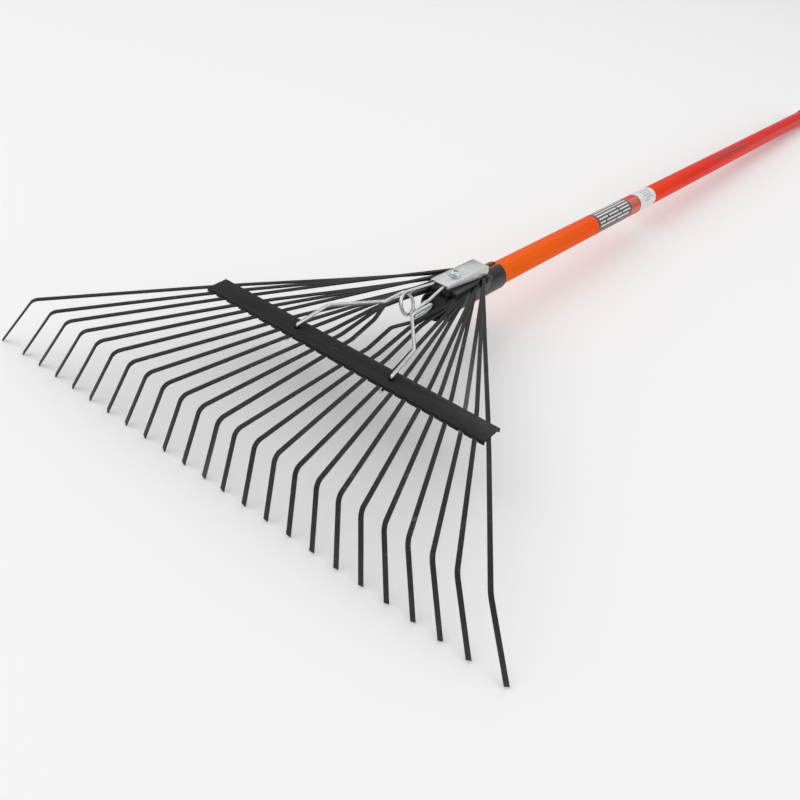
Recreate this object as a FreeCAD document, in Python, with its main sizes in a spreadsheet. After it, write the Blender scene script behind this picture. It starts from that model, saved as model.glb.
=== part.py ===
"""Leaf rake with a spring-steel tine fan, a wire spring brace and a long tubular handle.

The rake is drawn in three nested frames.

* The handle frame has its X axis on the handle's centre line.  X = 0 is where the tines bend
  down, +X runs towards the grip end, +Z is the side that carries the clamp plate.
* The fan frame has its XY plane on the mid-plane of the flat tine fan and its Y axis on the
  bend line.  It is pitched and dropped from the handle frame.
* The ground frame is the part's own frame: the rake lies on z = 0, on its tine tips and on the
  end cap, with the origin at the bottom centre of its box.
"""
import FreeCAD, Part
import math
import os

import Sketcher

Vector = FreeCAD.Vector
X_AXIS = Vector(1, 0, 0)
Y_AXIS = Vector(0, 1, 0)
Z_AXIS = Vector(0, 0, 1)

# Driving dimensions, in millimetres and degrees: alias, value, meaning.
DIMENSIONS = [
    # Ground frame
    ("lay_angle", "1.7", "pitch that puts tips and end cap on the ground"),
    ("lay_shift", "-900", "X of the handle frame's origin above the ground frame"),
    ("lay_lift", "60", "Z of the handle frame's origin"),
    # Fan frame
    ("fan_pitch", "4.43", "slope of the fan against the handle"),
    ("fan_drop", "12.8", "bend line below the handle's centre line"),
    # Tines
    ("tine_width", "4.2", "flat spring-steel strip"),
    ("tine_thickness", "1.7", ""),
    ("tine_bend_radius", "9", "centre-line radius where the tine turns down"),
    ("tine_kink_radius", "14", "centre-line radius of every small set in a tine"),
    ("layer_pitch", "1.74", "stacking of the three tines of one group"),
    ("group_run", "0.06", "share of the way to the bar that a group's tines run together"),
    ("layer_reach", "0.45", "share of the run over which a group stays stacked"),
    ("inner_tine_y", "10.3", "innermost tine from the middle, at the bar"),
    ("tine_pitch", "13.4", "tine spacing at the bar within a group"),
    ("group_gap", "2.9", "extra spacing between groups at the bar"),
    ("inner_bend_y", "10", "innermost tine from the middle, at the bend"),
    ("bend_pitch", "22.5", "tine spacing at the bend"),
    ("outer_splay", "6.7", "extra spread of the outermost tine"),
    ("tip_forward", "16.9", "tips ahead of the bend line, along the fan"),
    ("tip_drop", "56.8", "tips below the fan"),
    ("tip_spread", "1.14", "tip position over bend position, across"),
    # Spreader bar
    ("bar_x", "149.5", "bar's centre behind the bend line"),
    ("bar_width", "26", ""),
    ("bar_length", "340", ""),
    ("bar_gauge", "0.9", ""),
    ("bar_depth", "4.2", "overall depth of the folded channel"),
    ("slot_clearance", "0.3", "all round each tine, in the bar's lips"),
    ("tine_play", "0.15", "play above and below the tines inside the bar"),
    ("hook_hole_y", "58.5", "brace hook hole from the middle"),
    ("hook_hole_dia", "6", ""),
    # Handle
    ("handle_dia", "28.4", "glass-fibre tube, outside"),
    ("handle_bore", "22", "glass-fibre tube, inside"),
    ("handle_front", "311", ""),
    ("handle_length", "1514", ""),
    ("plug_dia", "21.6", ""),
    ("plug_length", "15", "inside the tube"),
    ("plug_flange", "2", "over the tube's front end"),
    ("cap_dia", "31.6", ""),
    ("cap_overlap", "42", "length of tube inside the end cap"),
    ("cap_nose", "27", "solid end beyond the tube"),
    ("cap_round", "7", ""),
    ("cap_lip", "1", "bevel round the cap's open end"),
    ("cap_floor_gap", "0.2", "between the tube's end and the cap's floor"),
    ("hang_hole_dia", "8", ""),
    ("fit_gap", "0.1", "radial gap between nested round parts"),
    # Socket
    ("socket_dia", "33.2", "outside of the rolled socket"),
    ("socket_front", "301", ""),
    ("socket_rear", "427", ""),
    ("socket_seam", "4.5", "open seam along the top"),
    ("shelf_front", "312", ""),
    ("shelf_rear", "386", ""),
    ("shelf_half", "18.8", "half width of the tine shelf"),
    ("shelf_foot", "15.6", "half width of the shelf at its lower edge"),
    ("shelf_low", "-2", "lower edge of the shelf"),
    ("slot_height", "5.5", "height of the tine slot"),
    ("slot_rear", "379", "closed end of the tine slot"),
    ("slot_step", "0.1", "shelf behind the slot stands this much under the cap"),
    ("shelf_bevel", "6", "height of the shelf's sloped lower corner"),
    ("seam_low", "5", "the seam is cut from here up"),
    ("overcut", "1", "cutters pass the end of a part by this much"),
    ("far", "40", "reach of cutters that open a whole side"),
    # Tine cap
    ("cap_front", "304", "front of the ridge"),
    ("shoulder_front", "312", ""),
    ("shoulder_top", "19.3", ""),
    ("shoulder_rear", "352", ""),
    ("shoulder_tail", "376", ""),
    ("shoulder_skirt", "4", "shoulders hang below the fan's origin"),
    ("tail_margin", "1", "shoulder's narrow end, beyond the plate on each side"),
    ("ridge_half", "9.2", "half width of the ridge between the plate's flanges"),
    # Clamp plate
    ("plate_front", "303", ""),
    ("plate_rear", "386", ""),
    ("plate_half", "11", ""),
    ("plate_gauge", "1.6", ""),
    ("plate_top", "28.2", "above the handle's centre line"),
    ("flange_low", "19.5", "lower edge of the flanges, at the rear"),
    ("flange_front_low", "24.8", "and at the front"),
    ("flange_slope_rear", "366", "the flanges narrow forward from here"),
    ("flange_splay", "1.8", "flanges lean out by this much at their lower edge"),
    ("flange_round", "4", "rounded lower corners of the flanges"),
    # Brace
    ("wire_dia", "3.8", ""),
    ("wire_rear", "372", ""),
    ("wire_clamp_y", "6.2", "wire from the middle, under the plate"),
    ("coil_x", "261.5", ""),
    ("coil_y", "9.4", ""),
    ("coil_z", "12.6", ""),
    ("coil_radius", "11.8", "to the wire's centre"),
    ("coil_pitch", "5", "between the two strands that cross at the top"),
    ("coil_lean", "63", "coil plane from horizontal"),
    ("coil_lead", "4", "straight strand behind the coil"),
    ("coil_round", "11.4", "bend radius round the coil"),
    ("wire_lead", "4", "wire stays level this far in front of the plate"),
    ("wire_lead_round", "16", ""),
    ("coil_lead_round", "10", ""),
    ("crest_x", "232", "where the wire turns outwards in front of the coil"),
    ("crest_y", "17.2", ""),
    ("crest_z", "21", ""),
    ("crest_round", "9", ""),
    ("fall_x", "187", "where the wire turns down to the bar"),
    ("fall_y", "54", ""),
    ("fall_z", "15", ""),
    ("fall_round", "11", ""),
    ("hook_over", "5.3", "wire above the bar at the hook hole"),
    ("hook_under", "4.4", "wire below the bar"),
    ("hook_tail", "16.5", "length of the hook under the bar"),
    ("hook_round", "2.4", ""),
    ("groove_gap", "0.05", "gap round the wires in the cap"),
    # Clamp bolt
    ("bolt_x", "333", ""),
    ("bolt_dia", "6", ""),
    ("bolt_end", "-28", "end of the thread, from the handle's centre line"),
    ("bolt_head_dia", "13", ""),
    ("bolt_head_height", "3.6", ""),
    ("recess_width", "1.5", "arm width of the cross recess"),
    ("recess_length", "7", ""),
    ("recess_depth", "1.8", ""),
    ("washer_dia", "16", ""),
    ("washer_gauge", "1.2", ""),
    ("nut_flats", "10", ""),
    ("nut_height", "5.6", ""),
    ("hole_clearance", "0.4", "bolt holes over the bolt"),
    ("thread_gap", "0.05", "radial gap between bolt and nut"),
    ("nut_gap", "0.2", "washer sits this far below the socket"),
    ("head_root", "0.5", "shank runs into the head by this much"),
]

GROUPS = 4
TINES_PER_GROUP = 3
COIL_CORNERS = 8
STRAIGHT = 1e-3
TOUCH = 0.01
INTO_BEND = 0.12

# Where each group's stack ends inside the socket, in plan, from the middle group outwards.
GROUP_ROOTS = [(317.0, 16.7), (347.5, 15.2), (362.0, 15.0), (376.0, 14.0)]

# The innermost group bows up and is set outwards round the socket: X, Y and rise of the points
# between root and bar, for the tine nearest the middle first.
INNER_SETS = [
    [(302.0, 17.4, 0.0), (239.0, 20.4, 6.6), (210.0, 10.4, 6.6)],
    [(302.0, 17.4, 0.0), (239.0, 21.0, 6.5), (224.0, 21.6, 6.4)],
    [(302.0, 17.4, 0.0), (239.0, 26.0, 6.5), (228.0, 27.6, 6.0)],
]

LAY_PLACEMENT = (
    "placement(vector(sizes.lay_shift; 0; sizes.lay_lift);"
    " rotation(vector(0; 1; 0); sizes.lay_angle))"
)
FAN_PLACEMENT = (
    LAY_PLACEMENT
    + " * placement(vector(0; 0; -sizes.fan_drop); rotation(vector(0; -1; 0); sizes.fan_pitch))"
)


def fill_sheet(doc):
    """Write the driving dimensions into the document's spreadsheet."""
    sheet = doc.addObject("Spreadsheet::Sheet", "sizes")
    for row, (alias, value, meaning) in enumerate(DIMENSIONS, start=1):
        sheet.set("A%d" % row, alias)
        sheet.set("B%d" % row, value)
        sheet.setAlias("B%d" % row, alias)
        sheet.set("C%d" % row, meaning)
    doc.recompute()
    return sheet


# ---------------------------------------------------------------- drawing helpers

def origin_plane(body, role):
    """Return one of a body's own origin planes, such as XY_Plane."""
    for feature in body.Origin.OriginFeatures:
        if feature.Role == role:
            return feature
    raise ValueError(role)


def new_body(doc, label, placement):
    """Start a PartDesign body with its label and its placement expression."""
    body = doc.addObject("PartDesign::Body", label)
    body.Label = label
    body.setExpression("Placement", placement)
    return body


def new_sketch(body, name, role, offset=None):
    """Attach a sketch to an origin plane; offset is an expression along the plane's normal."""
    sketch = body.newObject("Sketcher::SketchObject", name)
    sketch.AttachmentSupport = [(origin_plane(body, role), "")]
    sketch.MapMode = "FlatFace"
    if offset:
        sketch.setExpression("AttachmentOffset.Base.z", offset)
    return sketch


def closed_outline(sketch, corners):
    """Draw a closed polygon; every corner is a pair of expressions bound to the sheet.

    A coordinate of 0 is held on the sketch's axis.
    """
    count = len(corners)
    start = [Vector(math.cos(2 * math.pi * i / count), math.sin(2 * math.pi * i / count), 0)
             for i in range(count)]
    first = sketch.GeometryCount
    for i in range(count):
        sketch.addGeometry(Part.LineSegment(start[i], start[(i + 1) % count]), False)
    for i in range(count):
        after = first + (i + 1) % count
        sketch.addConstraint(Sketcher.Constraint("Coincident", first + i, 2, after, 1))
    for i, (across, along) in enumerate(corners):
        for kind, value in (("DistanceX", across), ("DistanceY", along)):
            index = sketch.addConstraint(Sketcher.Constraint(kind, -1, 1, first + i, 1, 1.0))
            sketch.setExpression("Constraints[%d]" % index, value)


def rectangle(sketch, low_across, high_across, low_along, high_along):
    """Draw an axis-aligned rectangle from four expressions."""
    closed_outline(sketch, [
        (low_across, low_along), (high_across, low_along),
        (high_across, high_along), (low_across, high_along),
    ])


def circle(sketch, radius, across="0", along="0"):
    """Draw a circle from expressions for its radius and centre."""
    index = sketch.addGeometry(Part.Circle(Vector(0, 0, 0), Z_AXIS, 1.0), False)
    place = sketch.addConstraint(Sketcher.Constraint("DistanceX", -1, 1, index, 3, 1.0))
    sketch.setExpression("Constraints[%d]" % place, across)
    place = sketch.addConstraint(Sketcher.Constraint("DistanceY", -1, 1, index, 3, 1.0))
    sketch.setExpression("Constraints[%d]" % place, along)
    size = sketch.addConstraint(Sketcher.Constraint("Radius", index, 1.0))
    sketch.setExpression("Constraints[%d]" % size, radius)


def pad(body, name, sketch, length, centred=False, reverse=False):
    """Pad a sketch by an expression."""
    feature = body.newObject("PartDesign::Pad", name)
    feature.Profile = sketch
    feature.setExpression("Length", length)
    feature.SideType = "Symmetric" if centred else "One side"
    feature.Reversed = reverse
    return feature


def cut_through(body, name, sketch):
    """Pocket a sketch through everything on both sides of its plane."""
    feature = body.newObject("PartDesign::Pocket", name)
    feature.Profile = sketch
    feature.Type = "ThroughAll"
    feature.SideType = "Symmetric"
    return feature


def revolve(body, name, sketch):
    """Revolve a sketch about its horizontal axis."""
    feature = body.newObject("PartDesign::Revolution", name)
    feature.Profile = sketch
    feature.ReferenceAxis = (sketch, ["H_Axis"])
    feature.Angle = 360
    return feature


def rounded_route(points, radii):
    """Join points with straight runs and tangent arcs; radii has one value per inner point."""
    edges = []
    last = points[0]
    for i in range(1, len(points) - 1):
        corner = points[i]
        before = (points[i - 1] - corner).normalize()
        after = (points[i + 1] - corner).normalize()
        turn = math.pi - before.getAngle(after)
        if turn < STRAIGHT:
            continue
        reach = radii[i - 1] * math.tan(turn / 2)
        start = corner + before * reach
        end = corner + after * reach
        bisector = (before + after).normalize()
        middle = corner + bisector * (radii[i - 1] / math.cos(turn / 2) - radii[i - 1])
        if (start - last).Length > 1e-6:
            edges.append(Part.LineSegment(last, start).toShape())
        edges.append(Part.Arc(start, middle, end).toShape())
        last = end
    edges.append(Part.LineSegment(last, points[-1]).toShape())
    return Part.Wire(edges)


def sweep(doc, label, section, route, placement):
    """Sweep a section object along a wire as a solid with its own label and placement."""
    spine = doc.addObject("Part::Feature", label + "_route")
    spine.Shape = route
    feature = doc.addObject("Part::Sweep", label)
    feature.Label = label
    feature.Sections = [section]
    feature.Spine = (spine, [])
    feature.Solid = True
    feature.Frenet = False
    feature.setExpression("Placement", placement)
    return feature


def block(doc, name, low, high, placement=None):
    """Make a Part::Box between two corners given as expressions."""
    feature = doc.addObject("Part::Box", name)
    for side, low_value, high_value in zip(("Length", "Width", "Height"), low, high):
        feature.setExpression(side, "(%s) - (%s)" % (high_value, low_value))
    local = "placement(vector(%s; %s; %s); rotation(vector(0; 0; 1); 0))" % low
    feature.setExpression("Placement", (placement + " * " if placement else "") + local)
    return feature


def rod(doc, name, radius, start, end, direction, across=("0", "0")):
    """Make a Part::Cylinder along X or Z between two expressions."""
    feature = doc.addObject("Part::Cylinder", name)
    feature.setExpression("Radius", radius)
    feature.setExpression("Height", "(%s) - (%s)" % (end, start))
    if direction == "x":
        place = "placement(vector(%s; %s; %s); rotation(vector(0; 1; 0); 90))"
        feature.setExpression("Placement", place % (start, across[0], across[1]))
    else:
        place = "placement(vector(%s; %s; %s); rotation(vector(0; 0; 1); 0))"
        feature.setExpression("Placement", place % (across[0], across[1], start))
    return feature


def fuse(doc, name, shapes):
    """Join several shapes."""
    feature = doc.addObject("Part::MultiFuse", name)
    feature.Shapes = shapes
    feature.Refine = True
    return feature


def cut(doc, name, base, tools):
    """Cut several tools from a base."""
    tool = tools[0] if len(tools) == 1 else fuse(doc, name + "_tools", tools)
    feature = doc.addObject("Part::Cut", name)
    feature.Base = base
    feature.Tool = tool
    feature.Refine = True
    return feature


def finished(feature, label):
    """Label a Part feature and lay it on the ground."""
    feature.Label = label
    feature.setExpression("Placement", LAY_PLACEMENT)
    return feature


# ---------------------------------------------------------------- tines

def bar_crossing(sheet, rank):
    """Distance from the middle at which a tine crosses the bar; rank 0 is innermost."""
    group = rank // TINES_PER_GROUP
    return sheet.inner_tine_y + rank * sheet.tine_pitch + group * sheet.group_gap


def bend_crossing(sheet, rank):
    """Distance from the middle at which a tine bends down."""
    outermost = rank == GROUPS * TINES_PER_GROUP - 1
    return sheet.inner_bend_y + rank * sheet.bend_pitch + (sheet.outer_splay if outermost else 0)


def tine_route(sheet, rank, side):
    """Route of one tine in the fan frame, from its root in the socket to its tip."""
    group, place = divmod(rank, TINES_PER_GROUP)
    height = (1 - place) * sheet.layer_pitch
    root = Vector(GROUP_ROOTS[group][0], GROUP_ROOTS[group][1], height)
    bar = Vector(sheet.bar_x, bar_crossing(sheet, rank), 0)
    bend_y = bend_crossing(sheet, rank)
    bend = Vector(0, bend_y, 0)
    tip = Vector(-sheet.tip_forward, bend_y * sheet.tip_spread, -sheet.tip_drop)
    if group == 0:
        sets = [Vector(x, y, height + rise) for x, y, rise in INNER_SETS[place]]
    else:
        middle_rank = group * TINES_PER_GROUP + TINES_PER_GROUP // 2
        middle_bar = Vector(sheet.bar_x, bar_crossing(sheet, middle_rank), 0)
        split = root + (middle_bar - root) * sheet.group_run
        sets = [split, split + (bar - split) * sheet.layer_reach]
        for point in sets:
            point.z = height
    behind_bar = bar + (sets[-1] - bar).normalize() * sheet.bar_width
    behind_bar.z = 0
    points = [root] + sets + [behind_bar, bar + (bend - bar) * INTO_BEND, bend, tip]
    radii = [sheet.tine_kink_radius] * (len(points) - 3) + [sheet.tine_bend_radius]
    for point in points:
        point.y *= side
    return rounded_route(points, radii)


def tine_section(doc, sheet, rank, side, start, direction):
    """Rectangle across the strip at its root."""
    section = doc.addObject("Part::Plane", "tine_section_%d_%d" % (rank, side))
    section.setExpression("Length", "sizes.tine_width")
    section.setExpression("Width", "sizes.tine_thickness")
    level = Vector(direction.x, direction.y, 0).normalize()
    across = Z_AXIS.cross(level)
    turn = FreeCAD.Rotation(across, Z_AXIS, level, "XYZ")
    corner = start - across * (sheet.tine_width / 2) - Z_AXIS * (sheet.tine_thickness / 2)
    section.Placement = FreeCAD.Placement(corner, turn)
    return section


def make_tines(doc, sheet):
    """Twenty-four tines, numbered from the +Y side to the -Y side."""
    per_side = GROUPS * TINES_PER_GROUP
    tines = []
    for number in range(1, 2 * per_side + 1):
        side = 1 if number <= per_side else -1
        rank = per_side - number if side > 0 else number - per_side - 1
        route = tine_route(sheet, rank, side)
        first = route.OrderedEdges[0]
        direction = first.valueAt(first.LastParameter) - first.valueAt(first.FirstParameter)
        start = first.valueAt(first.FirstParameter)
        section = tine_section(doc, sheet, rank, side, start, direction)
        tines.append(sweep(doc, "tine_%02d" % number, section, route, FAN_PLACEMENT))
    return tines


# ---------------------------------------------------------------- spreader bar

def make_spreader_bar(doc, sheet):
    """Folded channel over the tines, slotted for each of them in both lips."""
    body = new_body(doc, "spreader_bar", FAN_PLACEMENT)
    under = "sizes.tine_thickness / 2 + sizes.tine_play"
    top = under + " + sizes.bar_gauge"
    low = top + " - sizes.bar_depth"
    front = "sizes.bar_x - sizes.bar_width / 2"
    rear = "sizes.bar_x + sizes.bar_width / 2"
    profile = new_sketch(body, "bar_profile", "XZ_Plane")
    closed_outline(profile, [
        (front, low), (front + " + sizes.bar_gauge", low),
        (front + " + sizes.bar_gauge", under), (rear + " - sizes.bar_gauge", under),
        (rear + " - sizes.bar_gauge", low), (rear, low), (rear, top), (front, top),
    ])
    pad(body, "bar_channel", profile, "sizes.bar_length", centred=True)
    doc.recompute()
    for lip, edge in (("front", front + " + sizes.bar_gauge"), ("rear", rear)):
        for group in range(GROUPS):
            for side in (1, -1):
                name = "%s_slots_%d_%d" % (lip, group, side + 2)
                slots = new_sketch(body, name, "YZ_Plane", edge + " + 0.5")
                for rank in range(group * TINES_PER_GROUP, (group + 1) * TINES_PER_GROUP):
                    middle, half = lip_slot(sheet, rank, lip)
                    rectangle(slots, "%.3f" % (side * middle - half),
                              "%.3f" % (side * middle + half), low + " - 1", under)
                pocket = body.newObject("PartDesign::Pocket", name + "_cut")
                pocket.Profile = slots
                pocket.setExpression("Length", "sizes.bar_gauge + 1")
    doc.recompute()
    holes = new_sketch(body, "bar_hook_holes", "XY_Plane")
    for side in (1, -1):
        circle(holes, "sizes.hook_hole_dia / 2", "sizes.bar_x", "%d * sizes.hook_hole_y" % side)
    cut_through(body, "bar_hooks", holes)
    return body


def lip_slot(sheet, rank, lip):
    """Middle and half width of a tine's slot in one lip of the bar."""
    crossing = bar_crossing(sheet, rank)
    if lip == "front":
        slope = (bend_crossing(sheet, rank) - crossing) / sheet.bar_x
        middle = crossing + slope * (sheet.bar_width - sheet.bar_gauge) / 2
    else:
        group, place = divmod(rank, TINES_PER_GROUP)
        behind = INNER_SETS[place][-1] if group == 0 else GROUP_ROOTS[group]
        slope = (crossing - behind[1]) / (behind[0] - sheet.bar_x)
        middle = crossing - slope * (sheet.bar_width - sheet.bar_gauge) / 2
    strip = sheet.tine_width / 2 * math.hypot(1, slope)
    return middle, strip + abs(slope) * sheet.bar_gauge / 2 + sheet.slot_clearance


def make_spreader_strip(doc):
    """Flat strip that closes the channel under the tines, with clearance for the hooks."""
    body = new_body(doc, "spreader_strip", FAN_PLACEMENT)
    outline = new_sketch(body, "strip_outline", "XY_Plane", "-sizes.tine_thickness / 2 - sizes.tine_play")
    rectangle(
        outline,
        "sizes.bar_x - sizes.bar_width / 2 + sizes.bar_gauge",
        "sizes.bar_x + sizes.bar_width / 2 - sizes.bar_gauge",
        "-sizes.bar_length / 2 + 2",
        "sizes.bar_length / 2 - 2",
    )
    pad(body, "strip_plate", outline, "sizes.bar_gauge", reverse=True)
    doc.recompute()
    holes = new_sketch(body, "strip_hook_holes", "XY_Plane")
    for side in (1, -1):
        circle(holes, "sizes.hook_hole_dia / 2", "sizes.bar_x", "%d * sizes.hook_hole_y" % side)
    cut_through(body, "strip_hooks", holes)
    return body


# ---------------------------------------------------------------- brace

def fan_point(sheet, x, y, z):
    """Take a point of the fan frame into the handle frame."""
    pitch = math.radians(sheet.fan_pitch)
    return Vector(
        x * math.cos(pitch) - z * math.sin(pitch),
        y,
        x * math.sin(pitch) + z * math.cos(pitch) - sheet.fan_drop,
    )


def coil_points(sheet):
    """Corners of the polygon whose inscribed circle is the coil's single turn."""
    lean = math.radians(sheet.coil_lean)
    up = Vector(0, math.cos(lean), math.sin(lean))
    outward = Vector(0, math.sin(lean), -math.cos(lean))
    centre = Vector(sheet.coil_x, sheet.coil_y, sheet.coil_z)
    corner_radius = sheet.coil_radius / math.cos(math.pi / COIL_CORNERS)
    points = []
    for i in range(COIL_CORNERS):
        angle = math.radians(90) + 2 * math.pi * (i + 0.5) / COIL_CORNERS
        share = (i + 0.5) / COIL_CORNERS - 0.5
        points.append(
            centre
            + X_AXIS * (corner_radius * math.cos(angle))
            + up * (corner_radius * math.sin(angle))
            + outward * (share * sheet.coil_pitch)
        )
    return points


def make_brace(doc, sheet, label, side):
    """One spring wire: clamped under the plate, coiled once, hooked through the bar."""
    level = sheet.plate_top - sheet.plate_gauge - sheet.wire_dia / 2
    coil = coil_points(sheet)
    lead_in = Vector(sheet.coil_x + sheet.coil_lead, coil[0].y, coil[0].z)
    hook_end = sheet.bar_x - sheet.hook_tail
    points = [
        Vector(sheet.wire_rear, sheet.wire_clamp_y, level),
        Vector(sheet.plate_front - sheet.wire_lead, sheet.wire_clamp_y, level),
        lead_in,
    ] + coil + [
        Vector(sheet.crest_x, sheet.crest_y, sheet.crest_z),
        Vector(sheet.fall_x, sheet.fall_y, sheet.fall_z),
        fan_point(sheet, sheet.bar_x, sheet.hook_hole_y, sheet.hook_over),
        fan_point(sheet, sheet.bar_x, sheet.hook_hole_y, -sheet.hook_under),
        fan_point(sheet, hook_end, sheet.hook_hole_y, -sheet.hook_under),
    ]
    radii = (
        [sheet.wire_lead_round, sheet.coil_lead_round]
        + [sheet.coil_round] * len(coil)
        + [sheet.crest_round, sheet.fall_round, sheet.hook_round, sheet.hook_round]
    )
    for point in points:
        point.y *= side
    section = doc.addObject("Part::Circle", label + "_section")
    section.setExpression("Radius", "sizes.wire_dia / 2")
    start = points[0]
    section.Placement = FreeCAD.Placement(start, FreeCAD.Rotation(Z_AXIS, points[1] - start))
    return sweep(doc, label, section, rounded_route(points, radii), LAY_PLACEMENT)


# ---------------------------------------------------------------- socket and clamp

FAN_LOCAL = "placement(vector(0; 0; -sizes.fan_drop); rotation(vector(0; -1; 0); sizes.fan_pitch))"


def shelf_pad(doc):
    """Side shelves that carry the tine roots, as one bar across the socket."""
    body = new_body(doc, "shelf_blank", "placement(vector(0; 0; 0); rotation(vector(0; 0; 1); 0))")
    profile = new_sketch(body, "shelf_profile", "YZ_Plane", "sizes.shelf_front")
    bevel = "sizes.shelf_low + sizes.shelf_bevel"
    closed_outline(profile, [
        ("-sizes.shelf_foot", "sizes.shelf_low"), ("sizes.shelf_foot", "sizes.shelf_low"),
        ("sizes.shelf_half", bevel), ("sizes.shelf_half", "sizes.shoulder_top"),
        ("-sizes.shelf_half", "sizes.shoulder_top"), ("-sizes.shelf_half", bevel),
    ])
    pad(body, "shelf_bar", profile, "sizes.shelf_rear - sizes.shelf_front")
    return body


def make_socket(doc):
    """Rolled socket with an open seam on top and a shelf for the tines on each side."""
    tube = rod(doc, "socket_tube", "sizes.socket_dia / 2", "sizes.socket_front",
               "sizes.socket_rear", "x")
    shelf = shelf_pad(doc)
    over_slot = block(
        doc, "socket_over_slot",
        ("sizes.shelf_front - sizes.far", "-sizes.far", "-sizes.slot_height / 2"),
        ("sizes.slot_rear", "sizes.far", "sizes.far"), FAN_LOCAL)
    over_step = block(
        doc, "socket_over_step",
        ("sizes.slot_rear - sizes.overcut", "-sizes.far", "sizes.slot_height / 2 - sizes.slot_step"),
        ("sizes.shelf_rear + sizes.far", "sizes.far", "sizes.far"), FAN_LOCAL)
    shelves = cut(doc, "socket_shelves", shelf, [over_slot, over_step])
    outer = fuse(doc, "socket_outer", [tube, shelves])
    bore = rod(doc, "socket_bore", "sizes.handle_dia / 2 + sizes.fit_gap",
               "sizes.socket_front - sizes.overcut", "sizes.socket_rear + sizes.overcut", "x")
    seam = block(
        doc, "socket_seam_gap",
        ("sizes.socket_front - sizes.overcut", "-sizes.socket_seam / 2", "sizes.seam_low"),
        ("sizes.socket_rear + sizes.overcut", "sizes.socket_seam / 2", "sizes.far"))
    hole = rod(doc, "socket_bolt_hole", "(sizes.bolt_dia + sizes.hole_clearance) / 2",
               "-sizes.far", "sizes.far", "z", ("sizes.bolt_x", "0"))
    return finished(cut(doc, "socket_cut", outer, [bore, seam, hole]), "handle_socket")


def make_tine_cap(doc):
    """Pressed cap over the tine roots, with a ridge that fills the clamp plate."""
    body = new_body(doc, "cap_blank", "placement(vector(0; 0; 0); rotation(vector(0; 0; 1); 0))")
    tail = "sizes.plate_half + sizes.tail_margin"
    plan = new_sketch(body, "cap_plan", "XY_Plane", "sizes.fan_drop - sizes.shoulder_skirt")
    closed_outline(plan, [
        ("sizes.shoulder_front", "-sizes.shelf_half"), ("sizes.shoulder_rear", "-sizes.shelf_half"),
        ("sizes.shoulder_tail", "-(%s)" % tail), ("sizes.shoulder_tail", tail),
        ("sizes.shoulder_rear", "sizes.shelf_half"), ("sizes.shoulder_front", "sizes.shelf_half"),
    ])
    pad(body, "cap_shoulders", plan, "sizes.shoulder_top - sizes.fan_drop + sizes.shoulder_skirt")
    ridge = block(
        doc, "cap_ridge",
        ("sizes.cap_front", "-sizes.ridge_half", "sizes.fan_drop"),
        ("sizes.plate_rear - sizes.overcut", "sizes.ridge_half", "sizes.plate_top - sizes.plate_gauge"))
    blank = fuse(doc, "cap_outer", [body, ridge])
    under = block(
        doc, "cap_under_slot",
        ("sizes.cap_front - sizes.far", "-sizes.far", "-sizes.far"),
        ("sizes.shelf_rear + sizes.far", "sizes.far", "sizes.slot_height / 2"), FAN_LOCAL)
    bore = rod(doc, "cap_saddle", "sizes.socket_dia / 2 + sizes.fit_gap",
               "sizes.cap_front - sizes.overcut", "sizes.shelf_rear + sizes.overcut", "x")
    tools = [under, bore]
    groove_half = "sizes.wire_dia / 2 + sizes.groove_gap"
    groove_floor = "sizes.plate_top - sizes.plate_gauge - sizes.wire_dia - sizes.groove_gap"
    for side in (1, -1):
        middle = "%d * sizes.wire_clamp_y" % side
        tools.append(block(
            doc, "cap_wire_groove_%d" % (2 + side),
            ("sizes.cap_front - sizes.overcut", "%s - (%s)" % (middle, groove_half), groove_floor),
            ("sizes.wire_rear + sizes.overcut", "%s + %s" % (middle, groove_half),
             "sizes.plate_top")))
    tools.append(rod(doc, "cap_bolt_hole", "(sizes.bolt_dia + sizes.hole_clearance) / 2",
                     "-sizes.overcut", "sizes.far", "z", ("sizes.bolt_x", "0")))
    return finished(cut(doc, "tine_cap_cut", blank, tools), "tine_cap")


def make_clamp_plate(doc, sheet):
    """Zinc-plated channel that holds the wires and the tine cap down."""
    body = new_body(doc, "clamp_plate", LAY_PLACEMENT)
    profile = new_sketch(body, "plate_profile", "YZ_Plane", "sizes.plate_front")
    inner = "sizes.plate_half - sizes.plate_gauge"
    under = "sizes.plate_top - sizes.plate_gauge"
    foot = "sizes.plate_half + sizes.flange_splay"
    inner_foot = foot + " - sizes.plate_gauge"
    closed_outline(profile, [
        ("-(%s)" % foot, "sizes.flange_low"), ("-(%s)" % inner_foot, "sizes.flange_low"),
        ("-(%s)" % inner, under), (inner, under), (inner_foot, "sizes.flange_low"),
        (foot, "sizes.flange_low"), ("sizes.plate_half", "sizes.plate_top"),
        ("-sizes.plate_half", "sizes.plate_top"),
    ])
    pad(body, "plate_channel", profile, "sizes.plate_rear - sizes.plate_front")
    doc.recompute()
    slope = new_sketch(body, "plate_flange_slope", "XZ_Plane")
    below = "sizes.flange_low - sizes.overcut"
    closed_outline(slope, [
        ("sizes.plate_front - sizes.overcut", below), ("sizes.flange_slope_rear", below),
        ("sizes.flange_slope_rear", "sizes.flange_low"),
        ("sizes.plate_front - sizes.overcut", "sizes.flange_front_low"),
    ])
    cut_through(body, "plate_slope_cut", slope)
    doc.recompute()
    hole = new_sketch(body, "plate_bolt_hole", "XY_Plane")
    circle(hole, "(sizes.bolt_dia + sizes.hole_clearance) / 2", "sizes.bolt_x", "0")
    cut_through(body, "plate_bolt_cut", hole)
    doc.recompute()
    edges = [
        "Edge%d" % i for i, edge in enumerate(body.Shape.Edges, start=1)
        if is_flange_corner(edge, body.Placement, sheet.flange_low)
    ]
    channel = body.Tip
    rounding = body.newObject("PartDesign::Fillet", "plate_flange_rounds")
    rounding.Base = (channel, edges)
    rounding.setExpression("Radius", "sizes.flange_round")
    return body


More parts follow.
